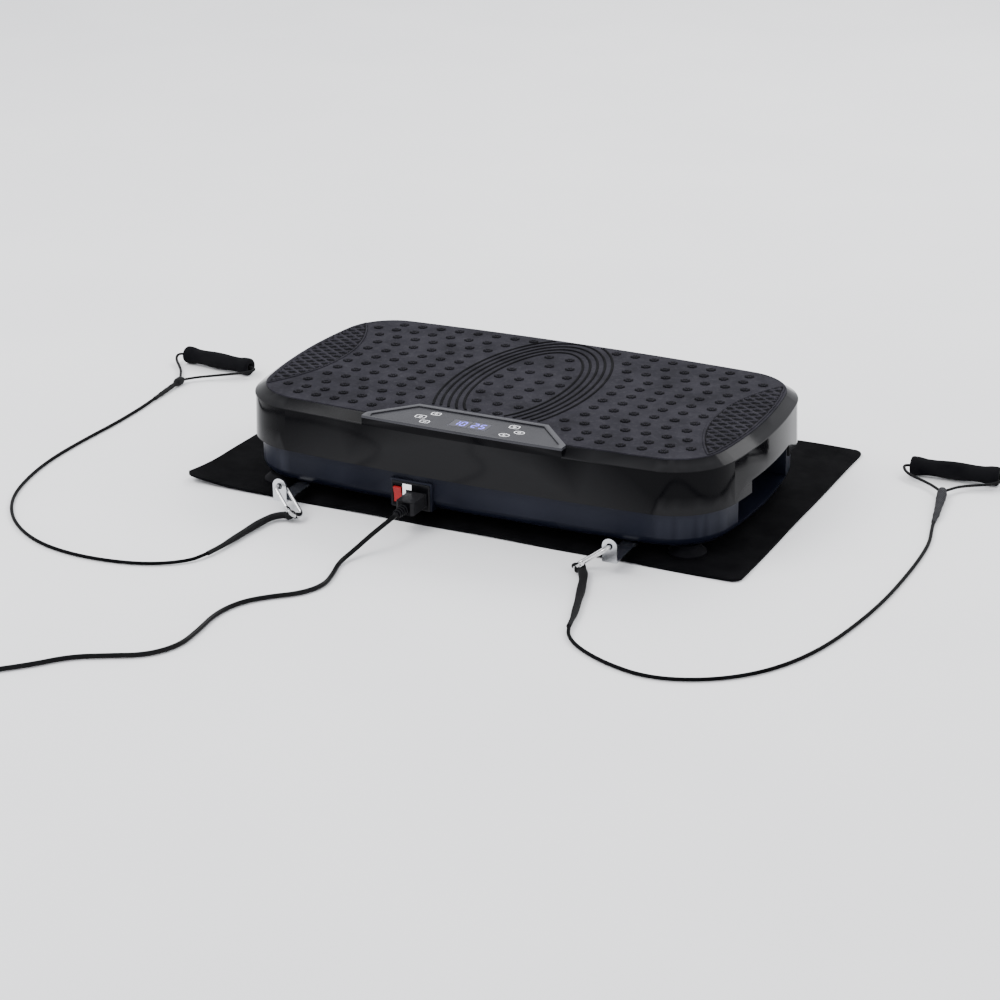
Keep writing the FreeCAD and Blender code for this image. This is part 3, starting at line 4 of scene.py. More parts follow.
import bmesh
import bpy
from mathutils import Matrix, Vector


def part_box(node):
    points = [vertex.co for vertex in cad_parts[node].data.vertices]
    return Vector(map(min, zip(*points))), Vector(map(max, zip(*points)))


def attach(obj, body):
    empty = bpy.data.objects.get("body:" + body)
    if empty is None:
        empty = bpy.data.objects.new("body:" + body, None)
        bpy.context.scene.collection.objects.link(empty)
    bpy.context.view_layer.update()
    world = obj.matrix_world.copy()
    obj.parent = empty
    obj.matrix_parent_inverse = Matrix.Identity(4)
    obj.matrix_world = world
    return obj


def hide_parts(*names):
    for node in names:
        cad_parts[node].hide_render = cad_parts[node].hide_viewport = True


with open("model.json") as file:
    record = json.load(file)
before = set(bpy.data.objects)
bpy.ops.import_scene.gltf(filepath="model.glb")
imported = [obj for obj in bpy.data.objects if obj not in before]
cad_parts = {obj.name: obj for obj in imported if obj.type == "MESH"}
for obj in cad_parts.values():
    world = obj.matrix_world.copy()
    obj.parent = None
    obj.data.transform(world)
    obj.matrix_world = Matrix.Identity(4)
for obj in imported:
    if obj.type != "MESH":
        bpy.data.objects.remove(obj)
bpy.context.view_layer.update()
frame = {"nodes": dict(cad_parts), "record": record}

# Looks of a vibration plate on its floor mat, with two hand bands and a mains lead, around the CAD frame.
# The scene is in metres in the CAD frame: +X right, +Y back, +Z up, origin on the floor under the plate.
# Sizes written out below are in millimetres and are scaled by MM where they are used.

nodes = frame["nodes"]

# ---------------------------------------------------------------- sizes read from the frame
MM = 0.001
tread_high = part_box("tread_mat")[1]
panel_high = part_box("control_fascia")[1]
window_low, window_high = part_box("display_window")
mat_low, mat_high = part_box("floor_mat")
inlet_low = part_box("mains_inlet")[0]
TREAD_TOP = panel_high.z
PANEL_TOP = window_high.z
FRAME_SHARP_ANGLE = 28
FLOOR_CLEARANCE = 0.2


# ---------------------------------------------------------------- material building
class Look:
    """One procedural material: a principled surface with named helpers that feed it."""

    def __init__(self, name, roughness=0.5, metallic=0.0):
        self.material = bpy.data.materials.new(name)
        self.material.use_nodes = True
        self.tree = self.material.node_tree
        self.shader = self.tree.nodes["Principled BSDF"]
        self.shader.inputs["Roughness"].default_value = roughness
        self.shader.inputs["Metallic"].default_value = metallic
        self.place = self.add("ShaderNodeTexCoord").outputs["Object"]
        self.height = None

    def add(self, kind, **values):
        node = self.tree.nodes.new(kind)
        for key, value in values.items():
            setattr(node, key, value)
        return node

    def link(self, source, target):
        self.tree.links.new(source, target)

    def scaled(self, scale):
        node = self.add("ShaderNodeMapping")
        node.inputs["Scale"].default_value = scale
        self.link(self.place, node.inputs["Vector"])
        return node.outputs["Vector"]

    def noise(self, scale, detail=3.0, stretch=(1, 1, 1)):
        node = self.add("ShaderNodeTexNoise")
        node.inputs["Scale"].default_value = scale
        node.inputs["Detail"].default_value = detail
        self.link(self.scaled(stretch), node.inputs["Vector"])
        return node.outputs["Fac"]

    def cells(self, scale, feature="F1"):
        node = self.add("ShaderNodeTexVoronoi", feature=feature)
        node.inputs["Scale"].default_value = scale
        self.link(self.place, node.inputs["Vector"])
        return node.outputs["Distance"]

    def waves(self, scale, direction="X", distortion=0.0):
        node = self.add("ShaderNodeTexWave", bands_direction=direction)
        node.inputs["Scale"].default_value = scale
        node.inputs["Distortion"].default_value = distortion
        self.link(self.place, node.inputs["Vector"])
        return node.outputs["Fac"]

    def math(self, operation, first, second):
        node = self.add("ShaderNodeMath", operation=operation)
        for socket, value in zip(node.inputs, (first, second)):
            if isinstance(value, (int, float)):
                socket.default_value = value
            else:
                self.link(value, socket)
        return node.outputs["Value"]

    def ramp(self, source, low, high, low_at=0.35, high_at=0.65):
        node = self.add("ShaderNodeValToRGB")
        ends = node.color_ramp.elements
        ends[0].position = low_at
        ends[0].color = (*low, 1)
        ends[1].position = high_at
        ends[1].color = (*high, 1)
        self.link(source, node.inputs["Fac"])
        return node.outputs["Color"]

    def blend(self, share, first, second):
        node = self.add("ShaderNodeMix", data_type="RGBA")
        self.link(share, node.inputs["Factor"])
        for socket, value in ((node.inputs[6], first), (node.inputs[7], second)):
            if isinstance(value, tuple):
                socket.default_value = (*value, 1)
            else:
                self.link(value, socket)
        return node.outputs[2]

    def colour(self, source):
        self.link(source, self.shader.inputs["Base Color"])
        return self

    def rough(self, source, low, high):
        node = self.add("ShaderNodeMapRange")
        node.inputs["To Min"].default_value = low
        node.inputs["To Max"].default_value = high
        self.link(source, node.inputs["Value"])
        self.link(node.outputs["Result"], self.shader.inputs["Roughness"])
        return self

    def bump(self, source, depth, strength=0.5):
        node = self.add("ShaderNodeBump")
        node.inputs["Distance"].default_value = depth
        node.inputs["Strength"].default_value = strength
        self.link(source, node.inputs["Height"])
        if self.height is not None:
            self.link(self.height, node.inputs["Normal"])
        self.height = node.outputs["Normal"]
        self.link(self.height, self.shader.inputs["Normal"])
        return self

    def paler_raised_edges(self, base, lighter):
        """Lighter along the raised edges."""
        edges = self.add("ShaderNodeNewGeometry").outputs["Pointiness"]
        share = self.ramp(edges, (0, 0, 0), (1, 1, 1), 0.52, 0.57)
        return self.blend(share, base, lighter)

    def set(self, name, value):
        self.shader.inputs[name].default_value = value
        return self


def moulded(name, dark, light, rough, grain=900.0, depth=0.00005, shine=0.2):
    """Moulded plastic: fine grain, slightly uneven colour and gloss, paler edges."""
    look = Look(name).set("Specular IOR Level", shine)
    tone = look.ramp(look.noise(14, 4), dark, light)
    look.colour(look.paler_raised_edges(tone, tuple(c * 1.5 + 0.01 for c in light)))
    look.rough(look.noise(60, 3), *rough)
    look.bump(look.noise(grain, 2), depth, 0.5)
    return look.material


def rubbery(name, dark, light, rough, grain=1600.0, depth=0.00008, dust=0.0, shine=0.08):
    """Rubber or foam: matt, pitted, with a trace of dust."""
    look = Look(name).set("Specular IOR Level", shine)
    tone = look.ramp(look.noise(30, 5), dark, light)
    if dust:
        share = look.ramp(look.noise(240, 6), (0, 0, 0), (dust,) * 3, 0.5, 0.8)
        tone = look.blend(share, tone, (0.16, 0.16, 0.17))
    look.colour(tone)
    look.rough(look.noise(90, 3), *rough)
    look.bump(look.cells(grain), depth, 0.6)
    look.bump(look.noise(grain * 0.4, 3), depth, 0.3)
    return look.material


def metal(name, dark, light, rough, stretch=(1, 60, 1), depth=0.00003, flecks=0.0):
    """Plated, turned or rolled metal with fine drawn lines."""
    look = Look(name, metallic=1.0)
    lines = look.noise(35, 4, stretch)
    tone = look.ramp(lines, dark, light)
    if flecks:
        patches = look.cells(flecks)
        tone = look.blend(look.ramp(patches, (0, 0, 0), (0.5, 0.5, 0.5), 0.2, 0.8), tone, light)
    look.colour(look.paler_raised_edges(tone, tuple(min(1, c * 1.2) for c in light)))
    look.rough(lines, *rough)
    look.bump(lines, depth, 0.4)
    return look.material


def woven(name, dark, light, pitch, depth=0.0002):
    """Webbing: two crossed sets of yarns."""
    look = Look(name).set("Specular IOR Level", 0.15)
    warp = look.waves(math.pi / pitch / 10, "DIAGONAL", 0.4)
    weft = look.waves(math.pi / pitch / 10, "X", 0.4)
    height = look.math("MULTIPLY", warp, weft)
    look.colour(look.ramp(height, dark, light, 0.1, 0.8))
    look.rough(look.noise(300, 2), 0.6, 0.85)
    look.bump(height, depth, 0.8)
    look.bump(look.noise(2600, 2), depth * 0.4, 0.5)
    look.set("Sheen Weight", 0.02).set("Sheen Roughness", 0.4)
    return look.material


def light_source(name, colour, strength):
    """A lit display segment, a little uneven in brightness."""
    look = Look(name, 0.4)
    tone = look.ramp(look.noise(400, 2), tuple(c * 0.8 for c in colour), colour)
    look.colour(tone)
    look.link(tone, look.shader.inputs["Emission Color"])
    look.set("Emission Strength", strength)
    return look.material


def tinted_window(name):
    look = Look(name)
    look.colour(look.ramp(look.noise(20, 2), (0.006, 0.006, 0.016), (0.012, 0.010, 0.030)))
    look.rough(look.noise(50, 3), 0.06, 0.14)
    look.bump(look.noise(300, 2), 0.00001, 0.2)
    return look.material


def circuit_board(name):
    look = Look(name)
    tracks = look.ramp(look.cells(160, "DISTANCE_TO_EDGE"), (0.35, 0.24, 0.06), (0.01, 0.10, 0.045), 0.03, 0.06)
    look.colour(tracks)
    look.rough(look.noise(200, 3), 0.3, 0.55)
    look.bump(look.cells(160, "DISTANCE_TO_EDGE"), 0.0001, 0.4)
    return look.material


LOOKS = {
    "tread_rubber": rubbery("tread_rubber_look", (0.014, 0.0135, 0.0175), (0.023, 0.022, 0.028), (0.62, 0.82),
                            1300, 0.00010, 0.07, 0.04),
    # Darker copy of the tread rubber: painted shade on the stud discs, the ellipse ribs and the pits of the end
    # pads.
    "painted_shade_rubber": rubbery("painted_shade_rubber_look", (0.0018, 0.0018, 0.0024), (0.005, 0.005, 0.006),
                           (0.6, 0.8), shine=0.03),
    "shell_plastic": moulded("shell_gloss_look", (0.0020, 0.0020, 0.0026), (0.0024, 0.0024, 0.0030),
                             (0.05, 0.11),
                             500, 0.00001, 0.05),
    "pan_plastic": moulded("pan_satin_look", (0.0028, 0.0036, 0.0080), (0.0052, 0.0064, 0.0125), (0.30, 0.42),
                           shine=0.08),
    "panel_plastic": moulded("panel_satin_look", (0.011, 0.011, 0.0145), (0.018, 0.018, 0.022),
                             (0.28, 0.40), 1500),
    "window": tinted_window("window_look"),
    "board": circuit_board("circuit_board_look"),
    "mat_rubber": rubbery("floor_mat_look", (0.0018, 0.0018, 0.0023), (0.0038, 0.0038, 0.0044),
                          (0.7, 0.9), 2200,
                          0.0002, shine=0.02),
    "foot_rubber": rubbery("foot_rubber_look", (0.002, 0.002, 0.003), (0.005, 0.005, 0.006), (0.5, 0.7),
                           shine=0.04),
    "band_rubber": rubbery("band_elastic_look", (0.0008, 0.0008, 0.0011), (0.0024, 0.0024, 0.003),
                           (0.35, 0.55), 2600,
                           shine=0.03),
    "cord_jacket": moulded("cord_jacket_look", (0.0008, 0.0008, 0.0011), (0.0022, 0.0022, 0.0026),
                           (0.22, 0.34), 1800,
                           shine=0.05),
    "belt_rubber": rubbery("belt_rubber_look", (0.005, 0.005, 0.005), (0.010, 0.010, 0.010), (0.5, 0.7)),
    "foam": rubbery("grip_foam_look", (0.002, 0.002, 0.003), (0.006, 0.006, 0.007), (0.75, 0.95), 1500,
                    0.0003, shine=0.04),
    "black_plastic": moulded("black_plastic_look", (0.0012, 0.0012, 0.0018), (0.003, 0.003, 0.004),
                             (0.30, 0.44), shine=0.06),
    "red_plastic": moulded("red_rocker_look", (0.13, 0.002, 0.003), (0.20, 0.004, 0.005), (0.18, 0.28)),
    "white_print": moulded("white_print_look", (0.62, 0.62, 0.64), (0.75, 0.75, 0.76), (0.45, 0.6)),
    "webbing": woven("webbing_look", (0.0010, 0.0010, 0.0014), (0.0060, 0.0060, 0.0072), 0.0016),
    "grey_webbing": woven("grey_webbing_look", (0.006, 0.006, 0.008), (0.034, 0.034, 0.038), 0.0016),
    "zinc_steel": metal("zinc_steel_look", (0.33, 0.34, 0.36), (0.50, 0.51, 0.53), (0.16, 0.30), flecks=120),
    "screw_steel": metal("screw_steel_look", (0.50, 0.50, 0.50), (0.66, 0.66, 0.66), (0.25, 0.4)),
    "bearing_steel": metal("bearing_steel_look", (0.55, 0.55, 0.56), (0.70, 0.70, 0.71), (0.18, 0.3)),
    "shaft_steel": metal("shaft_steel_look", (0.48, 0.48, 0.49), (0.63, 0.63, 0.64), (0.22, 0.36)),
    "hook_chrome": metal("hook_chrome_look", (0.40, 0.40, 0.40), (0.60, 0.60, 0.60), (0.07, 0.15), (1, 4, 1)),
    "pulley": metal("pulley_look", (0.50, 0.50, 0.52), (0.64, 0.64, 0.66), (0.26, 0.4)),
    "cast_blocks": metal("cast_block_look", (0.38, 0.38, 0.40), (0.50, 0.50, 0.52), (0.45, 0.65),
                         (1, 1, 1), 0.0002),
    "motor_case": metal("motor_case_look", (0.33, 0.33, 0.35), (0.44, 0.44, 0.46), (0.45, 0.62),
                        (1, 1, 1), 0.0002),
    "frame_steel": moulded("frame_paint_look", (0.006, 0.006, 0.007), (0.012, 0.012, 0.013),
                           (0.36, 0.52), 1100),
    "digits": light_source("display_digit_look", (0.14, 0.12, 0.80), 2.2),
}
slot_of = {part["node"]: part["material_slot"] for part in frame["record"]["subparts"]}


def dress_frame():
    """Every CAD node gets the look of its material slot, shaded smooth between its sharp edges."""
    for name, obj in nodes.items():
        obj.data.materials.clear()
        obj.data.materials.append(LOOKS[slot_of[name]])
        obj.data.shade_smooth()
        obj.data.set_sharp_from_angle(angle=math.radians(FRAME_SHARP_ANGLE))


# ---------------------------------------------------------------- piece building
def finish_piece(obj, look, body, slot=None, smooth=True, sharp=35):
    obj.data.materials.append(LOOKS[look])
    if obj.type == "MESH" and smooth:
        obj.data.shade_smooth()
        obj.data.set_sharp_from_angle(angle=math.radians(sharp))
    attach(obj, body)
    return obj


def mesh_piece(name, points, faces, look, body, **more):
    mesh = bpy.data.meshes.new(name)
    mesh.from_pydata([tuple(p) for p in points], [], faces)
    mesh.update()
    shape = bmesh.new()
    shape.from_mesh(mesh)
    bmesh.ops.recalc_face_normals(shape, faces=shape.faces)
    shape.to_mesh(mesh)
    shape.free()
    obj = bpy.data.objects.new(name, mesh)
    bpy.context.scene.collection.objects.link(obj)
    return finish_piece(obj, look, body, **more)


def cord_curve(name, points, radius, look, body):
    """A round cord on one smooth line through the route's control points."""
    curve = bpy.data.curves.new(name, "CURVE")
    curve.dimensions = "3D"
    curve.resolution_u = 10
    curve.bevel_depth = radius
    curve.bevel_resolution = 5
    curve.use_fill_caps = True
    line = curve.splines.new("NURBS")
    line.points.add(len(points) - 1)
    for point, place in zip(line.points, points):
        point.co = (*place, 1)
    line.order_u = 3
    line.use_endpoint_u = True
    obj = bpy.data.objects.new(name, curve)
    bpy.context.scene.collection.objects.link(obj)
    curve.materials.append(LOOKS[look])
    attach(obj, body)
    return obj


def metres(points):
    return [Vector(p) * MM for p in points]


def smooth_line(points, steps=8):
    """Points along the order 3 spline that a cord with these control points follows."""
    middles = [points[0]] + [(a + b) / 2 for a, b in zip(points[1:-1], points[2:-1])] + [points[-1]]
    line = []
    for start, corner, end in zip(middles, points[1:-1], middles[1:]):
        for step in range(steps):
            t = step / steps
            line.append(start * (1 - t) ** 2 + corner * 2 * t * (1 - t) + end * t ** 2)
    return line + [points[-1]]


def ring_faces(base, count, rings):
    """Four-sided faces between neighbouring rings of points, the first ring starting at point base."""
    return [[low + k, low + (k + 1) % count, low + count + (k + 1) % count, low + count + k]
            for low in range(base, base + (rings - 1) * count, count) for k in range(count)]


def swept(line, section_at):
    """Rings of points along a line; section_at(share) gives (sideways, upward) offsets of one ring."""
    points = []
    count = 0
    for index, here in enumerate(line):
        ahead = line[min(index + 1, len(line) - 1)]
        behind = line[max(index - 1, 0)]
        way = (ahead - behind).normalized()
        side = Vector((way.y, -way.x, 0)).normalized()
        up = side.cross(way)
        ring = section_at(index / (len(line) - 1))
        count = len(ring)
        points += [here + side * a + up * b for a, b in ring]
    faces = ring_faces(0, count, len(line))
    faces.append(list(range(count)))
    faces.append(list(range(len(points) - count, len(points))))
    return points, faces


def oval(width, height, count=20, power=2.6):
    """A rounded flat section."""
    ring = []
    for k in range(count):
        angle = 2 * math.pi * k / count
        c, s = math.cos(angle), math.sin(angle)
        ring.append((math.copysign(abs(c) ** (2 / power), c) * width / 2,
                     math.copysign(abs(s) ** (2 / power), s) * height / 2))
    return ring


# ---------------------------------------------------------------- camera, lights and floor
CAMERA_PLACE = (1.1682, -2.4343, 1.1000)
CAMERA_YAW = 26.26
CAMERA_PITCH = 22.65
CAMERA_ROLL = -0.64
CAMERA_LENS = 91.3
LIGHT_TARGET = (0, 0, 0.05)
FLOOR_HALF = 14
FLOOR_DROP = 0.0004


def make_camera():
    data = bpy.data.cameras.new("camera")
    data.lens = CAMERA_LENS
    data.sensor_width = 36
    data.clip_end = 60
    camera = bpy.data.objects.new("camera", data)
    bpy.context.scene.collection.objects.link(camera)
    turn = (Matrix.Rotation(math.radians(CAMERA_YAW), 4, "Z")
            @ Matrix.Rotation(math.radians(90 - CAMERA_PITCH), 4, "X")
            @ Matrix.Rotation(math.radians(CAMERA_ROLL), 4, "Z"))
    camera.matrix_world = Matrix.Translation(CAMERA_PLACE) @ turn
    bpy.context.scene.camera = camera


def area_light(name, place, size, power):
    data = bpy.data.lights.new(name, "AREA")
    data.shape = "RECTANGLE"
    data.size, data.size_y = size
    data.energy = power
    lamp = bpy.data.objects.new(name, data)
    bpy.context.scene.collection.objects.link(lamp)
    lamp.location = place
    lamp.rotation_euler = (Vector(LIGHT_TARGET) - Vector(place)).to_track_quat("-Z", "Y").to_euler()


def make_studio():
    world = bpy.data.worlds.new("studio")
    bpy.context.scene.world = world
    world.use_nodes = True
    sky = world.node_tree.nodes["Background"]
    sky.inputs["Color"].default_value = (0.95, 0.96, 1.0, 1)
    sky.inputs["Strength"].default_value = 1.5
    area_light("key_light", (-1.6, -1.2, 2.6), (2.2, 1.6), 72)
    area_light("back_light", (0.6, 2.4, 2.2), (2.6, 1.2), 60)
    area_light("side_light", (2.6, -0.4, 1.5), (1.4, 1.4), 8)
    floor_mesh = bpy.data.meshes.new("studio_floor")
    corners = [(-FLOOR_HALF, -FLOOR_HALF, 0), (FLOOR_HALF, -FLOOR_HALF, 0),
               (FLOOR_HALF, FLOOR_HALF, 0), (-FLOOR_HALF, FLOOR_HALF, 0)]
    floor_mesh.from_pydata(corners, [], [[0, 1, 2, 3]])
    floor = bpy.data.objects.new("studio_floor", floor_mesh)
    floor.location.z = -FLOOR_DROP
    bpy.context.scene.collection.objects.link(floor)
    look = Look("studio_floor_look", 0.6)
    look.colour(look.ramp(look.noise(3, 2), (0.90, 0.90, 0.905), (0.93, 0.93, 0.93)))
    floor_mesh.materials.append(look.material)


# ---------------------------------------------------------------- cords
STRAP_ROUTE = {
    "left": [(-190, -221.5, 6.4), (-200, -229, 5.6), (-205, -247, 4.8), (-207, -272, 4.4), (-208.5, -299, 4.4),
             (-210, -324, 4.3), (-213.5, -343, 4.2)],
    "right": [(170.5, -218, 6), (178, -232.5, 5.2), (185, -251, 4.6), (195.5, -283, 4.4), (205, -313, 4.3),
              (210, -332, 4.3), (213, -346, 4.2)],
}
BAND_ROUTE = {
    "left": [(-213.5, -343, 4.2), (-223, -367, 2.8), (-261, -392, 2.1), (-321, -403, 2.1), (-378, -398, 2.1),
             (-425, -379, 2.1), (-469, -345, 2.1), (-503, -297, 2.1), (-522, -238, 2.1), (-531, -178, 2.1),
             (-531, -114, 2.1), (-528, -52, 2.1), (-529, 4, 2.1), (-531.5, 40, 2.6)],
    "right": [(213, -346, 4.2), (221, -365, 2.8), (242, -384, 2.1), (279, -403, 2.1), (325, -414, 2.1),
              (371, -401, 2.1), (411, -372, 2.1), (440, -331, 2.1), (460, -278, 2.1), (472, -213, 2.1),
              (479, -148, 2.1), (480.5, -88, 2.1), (480, -34, 2.1), (476.5, 12, 2.1), (468.5, 45, 2.3),
              (464.5, 64, 2.9)],
}
# Centre points and radii of the sleeve or knot between band and handle
SLEEVE_ROUTE = {
    "left": [((-531.5, 40, 2.6), 2.4), ((-532.7, 66, 3.6), 2.9), ((-533.5, 90, 4.8), 3),
             ((-533.6, 95.5, 5.4), 5.2), ((-534, 104, 5.4), 5.2), ((-534.6, 108.5, 5.2), 3.4)],
    "right": [((464.5, 64, 2.9), 2.5), ((461.5, 86, 4.4), 3.8), ((451.5, 138, 5.8), 5.7), ((449.3, 146, 6), 5),
              ((448.5, 150, 6.2), 4.2)],
}
CORD_EXIT = (-53, -215.5, 27.5)
CORD_ROUTE = [(-53.5, -236, 26.5), (-61.5, -257, 18.5), (-71, -278, 7.4), (-75, -303, 2.9), (-67, -329, 2.7),
              (-61, -359, 2.7), (-73, -387, 2.7), (-99, -408, 2.7), (-119, -432, 2.7), (-127, -466, 2.7),
              (-122, -506, 2.7), (-120, -544, 2.7), (-138, -576, 2.7), (-171, -593, 2.7), (-204, -611, 2.7),
              (-230, -643, 2.7), (-259, -670, 2.7), (-285, -703, 2.7), (-311, -721, 2.7), (-336, -732.5, 2.7)]
PLUG_LEAD = [(-388, -730, 8), (-407, -716, 7), (-427, -706, 5.6), (-447, -698, 6.5), (-466, -691, 11),
             (-484, -685, 16.6), (-500, -680, 19)]
CORD_DIAMETER = 5.2
BAND_DIAMETER = 4.0
COIL_TURNS = 4.2
COIL_POINTS_PER_TURN = 16
COIL_START = math.radians(-55)
COIL_OUTER_RADIUS = 45.5
COIL_UPPER_RADIUS = 33.5
COIL_PITCH = 6.0
COIL_HEIGHT = 2.7
COIL_RISE = 5.3
COIL_LOWER_TURNS = 2
COIL_RISE_TURNS = 0.5


def coil_turns():
    """Two turns spiralling in on the floor, half a turn up, and the rest spiralling out on top of them."""
    low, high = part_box("power_cord_coil")
    centre = (low + high) / 2 / MM
    points = []
    for step in range(1, int(COIL_POINTS_PER_TURN * COIL_TURNS) - 1):
        done = step / COIL_POINTS_PER_TURN
        past = done - COIL_LOWER_TURNS
        if past < 0:
            radius = COIL_OUTER_RADIUS - COIL_PITCH * done
            height = COIL_HEIGHT
        else:
            radius = COIL_UPPER_RADIUS + COIL_PITCH * max(0, past - COIL_RISE_TURNS)
            height = COIL_HEIGHT + COIL_RISE * min(1, past / COIL_RISE_TURNS)
        angle = COIL_START - 2 * math.pi * done
        points.append((centre.x + radius * math.cos(angle), centre.y + radius * math.sin(angle), height))
    return points


def band_points(side):
    """The band's route, from where it enters the webbing sleeve."""
    return STRAP_ROUTE[side][2:-1] + BAND_ROUTE[side] + [SLEEVE_ROUTE[side][1][0]]


def make_cords():
    route = metres([CORD_EXIT] + CORD_ROUTE + coil_turns() + PLUG_LEAD)
    lead = cord_curve("power_lead", route, CORD_DIAMETER / 2 * MM, "cord_jacket", "base")
    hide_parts("power_cord", "power_cord_coil", "power_cord_end")
    bands = {}
    for side in BAND_ROUTE:
        band = cord_curve("elastic_band_" + side, metres(band_points(side)), BAND_DIAMETER / 2 * MM,
                          "band_rubber", "base")
        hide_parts("band_cord_" + side)
        bands[side] = band
    return bands


# ---------------------------------------------------------------- straps, handle loops and grips
STRAP_HEAD = {
    "left": [(-171.5, -221.5, 8.4), (-179, -220.5, 7.4)],
    "right": [(157.5, -211.5, 6.4), (164, -214, 6.4)],
}
STRAP_WIDTH = 10.4
STRAP_HEIGHT = 6.6
LOOP_WIDTH = 3.4
LOOP_HEIGHT = 3.1


def make_strap(side):
    """The webbing sleeve: folded over the hook's bend, bound there, then closing in on the elastic cord."""
    line = smooth_line(metres(STRAP_HEAD[side] + STRAP_ROUTE[side]), 12)

    def section(share):
        start = max(0.0, 1 - share / 0.04)
        bunch = math.exp(-((share - 0.13) / 0.045) ** 2)
        pinch = math.exp(-((share - 0.055) / 0.025) ** 2)
        taper = max(0.0, share - 0.62) / 0.38
        width = STRAP_WIDTH + 4.4 * bunch - 2.4 * pinch - 2.4 * share - 3.4 * taper - 3.0 * start
        width += 0.6 * math.sin(26 * share)
        height = STRAP_HEIGHT + 3.2 * bunch - 1.0 * pinch - 1.6 * taper - 1.6 * start
        return oval(width * MM, height * MM, 24, 2.8 - 0.6 * share)

    points, faces = swept(line, section)
    for point in points:
        point.z = max(point.z, FLOOR_CLEARANCE * MM)
    strap = mesh_piece("strap_webbing_" + side, points, faces, "webbing", "base")
    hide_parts("band_strap_" + side)
    return strap


GRIP_HALF = 51.0
GRIP_END_RADIUS = 11.0
GRIP_BODY_RADIUS = 9.75
GRIP_FLARE = 1.5
GRIP_SWELL = 0.7
GRIP_WAIST = 0.25
GRIP_BORE = 4.5
GRIP_PLACE = {"left": (-521, 174.5, 11), "right": (448, 200, 11)}
GRIP_TURN = {"left": -5.2, "right": 4.4}
LOOP_ROUTE = {
    "left": [[(-9.5, 68.5, 5.2), (-19, 55.5, 4.6), (-31.5, 38.5, 4), (-46, 24, 4), (-58, 14, 6),
              (-63.5, 5.5, 9), (-59, 0.5, 11), (-47, 0, 11)],
             [(-6, 68.5, 5.2), (2, 53.5, 5), (15, 42.5, 5.5), (30, 31, 6.5), (45, 22, 8), (57.5, 14.5, 9.5),
              (62, 6, 10.8), (56, 0.5, 11), (45, 0, 11)]],
    "right": [[(-7, 51.5, 6.2), (-15, 41, 5.6), (-26.5, 31.5, 5.6), (-39, 24.5, 6.5), (-48.5, 19.5, 7.5),
               (-55.5, 12, 9), (-58.5, 4.5, 10.6), (-55, 0.5, 11), (-44, 0, 11)],
             [(0, 52, 6.2), (7, 39.5, 6), (16, 29.5, 5.6), (28.5, 23.5, 6), (42.5, 19.5, 7.5), (54, 14, 9.5),
              (59, 6.5, 10.8), (55, 0.5, 11), (44, 0, 11)]],
}


def grip_matrix(side):
    return (Matrix.Translation(Vector(GRIP_PLACE[side]) * MM)
            @ Matrix.Rotation(math.radians(GRIP_TURN[side]), 4, "Z"))


def make_grip(side):
    """Foam sleeve: flared ends, a waist behind each and a slight swell in the middle."""
    profile = [(-GRIP_HALF + 7, GRIP_BORE), (-GRIP_HALF + 0.6, GRIP_BORE + 0.2), (-GRIP_HALF, GRIP_BORE + 0.9),
               (-GRIP_HALF, GRIP_END_RADIUS - 2.4), (-GRIP_HALF + 0.5, GRIP_END_RADIUS - 1.0),
               (-GRIP_HALF + 1.7, GRIP_END_RADIUS - 0.25)]
    end = list(profile)
    steps = 26
    for k in range(steps + 1):
        along = -GRIP_HALF + 3.5 + (2 * GRIP_HALF - 7) * k / steps
        inward = abs(along) / GRIP_HALF
        flare = GRIP_FLARE / (1 + math.exp(-(inward - 0.76) * 26))
        swell = GRIP_SWELL * math.cos(math.pi * inward / 0.7) if inward < 0.7 else 0
        radius = GRIP_BODY_RADIUS + flare + max(swell, -GRIP_WAIST)
        profile.append((along, min(radius, GRIP_END_RADIUS)))
    profile += [(-a, r) for a, r in reversed(end)]
    around = 40
    points = []
    for along, radius in profile:
        for k in range(around):
            angle = 2 * math.pi * k / around
            points.append(Vector((along, radius * math.cos(angle), radius * math.sin(angle))) * MM)
    faces = ring_faces(0, around, len(profile))
    last = (len(profile) - 1) * around
    faces += [[last + k, last + (k + 1) % around, (k + 1) % around, k] for k in range(around)]
    place = grip_matrix(side)
    grip = mesh_piece("grip_foam_" + side, [place @ p for p in points], faces, "foam", "base", sharp=50)
    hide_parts("foam_grip_" + side)


def make_loop(side):
    """Two legs of cord into the grip's ends, and the webbing sleeve or knot that they leave."""
    place = grip_matrix(side)
    points, faces = [], []
    for route in LOOP_ROUTE[side]:
        line = smooth_line([place @ (Vector((u, -v, z - GRIP_END_RADIUS)) * MM) for u, v, z in route])
        more, quads = swept(line, lambda share: oval(LOOP_WIDTH * MM, LOOP_HEIGHT * MM, 14, 2.2))
        faces += [[len(points) + i for i in quad] for quad in quads]
        points += more
    cord = mesh_piece("loop_cord_" + side, points, faces, "webbing", "base")
    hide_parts("handle_loop_" + side)
    stations = SLEEVE_ROUTE[side]
    line, radii = [], []
    for (start, start_radius), (end, end_radius) in zip(stations, stations[1:]):
        steps = max(3, int((Vector(end) - Vector(start)).length / 3))
        for step in range(steps):
            share = step / steps
            ease = share * share * (3 - 2 * share)
            line.append(Vector(start).lerp(Vector(end), share) * MM)
            radii.append(start_radius + (end_radius - start_radius) * ease)
    line.append(Vector(stations[-1][0]) * MM)
    radii.append(stations[-1][1])
    flat = 0.96 if side == "left" else 0.86

    def section(share):
        radius = radii[round(share * (len(radii) - 1))] + 0.15 * math.sin(40 * share)
        return oval(2 * radius * MM, 2 * radius * flat * MM, 24, 2.2)

    points, faces = swept(line, section)
    for point in points:
        point.z = max(point.z, FLOOR_CLEARANCE * MM)
    look = "webbing" if side == "left" else "grey_webbing"
    return mesh_piece("loop_sleeve_" + side, points, faces, look, "base", slot="webbing")


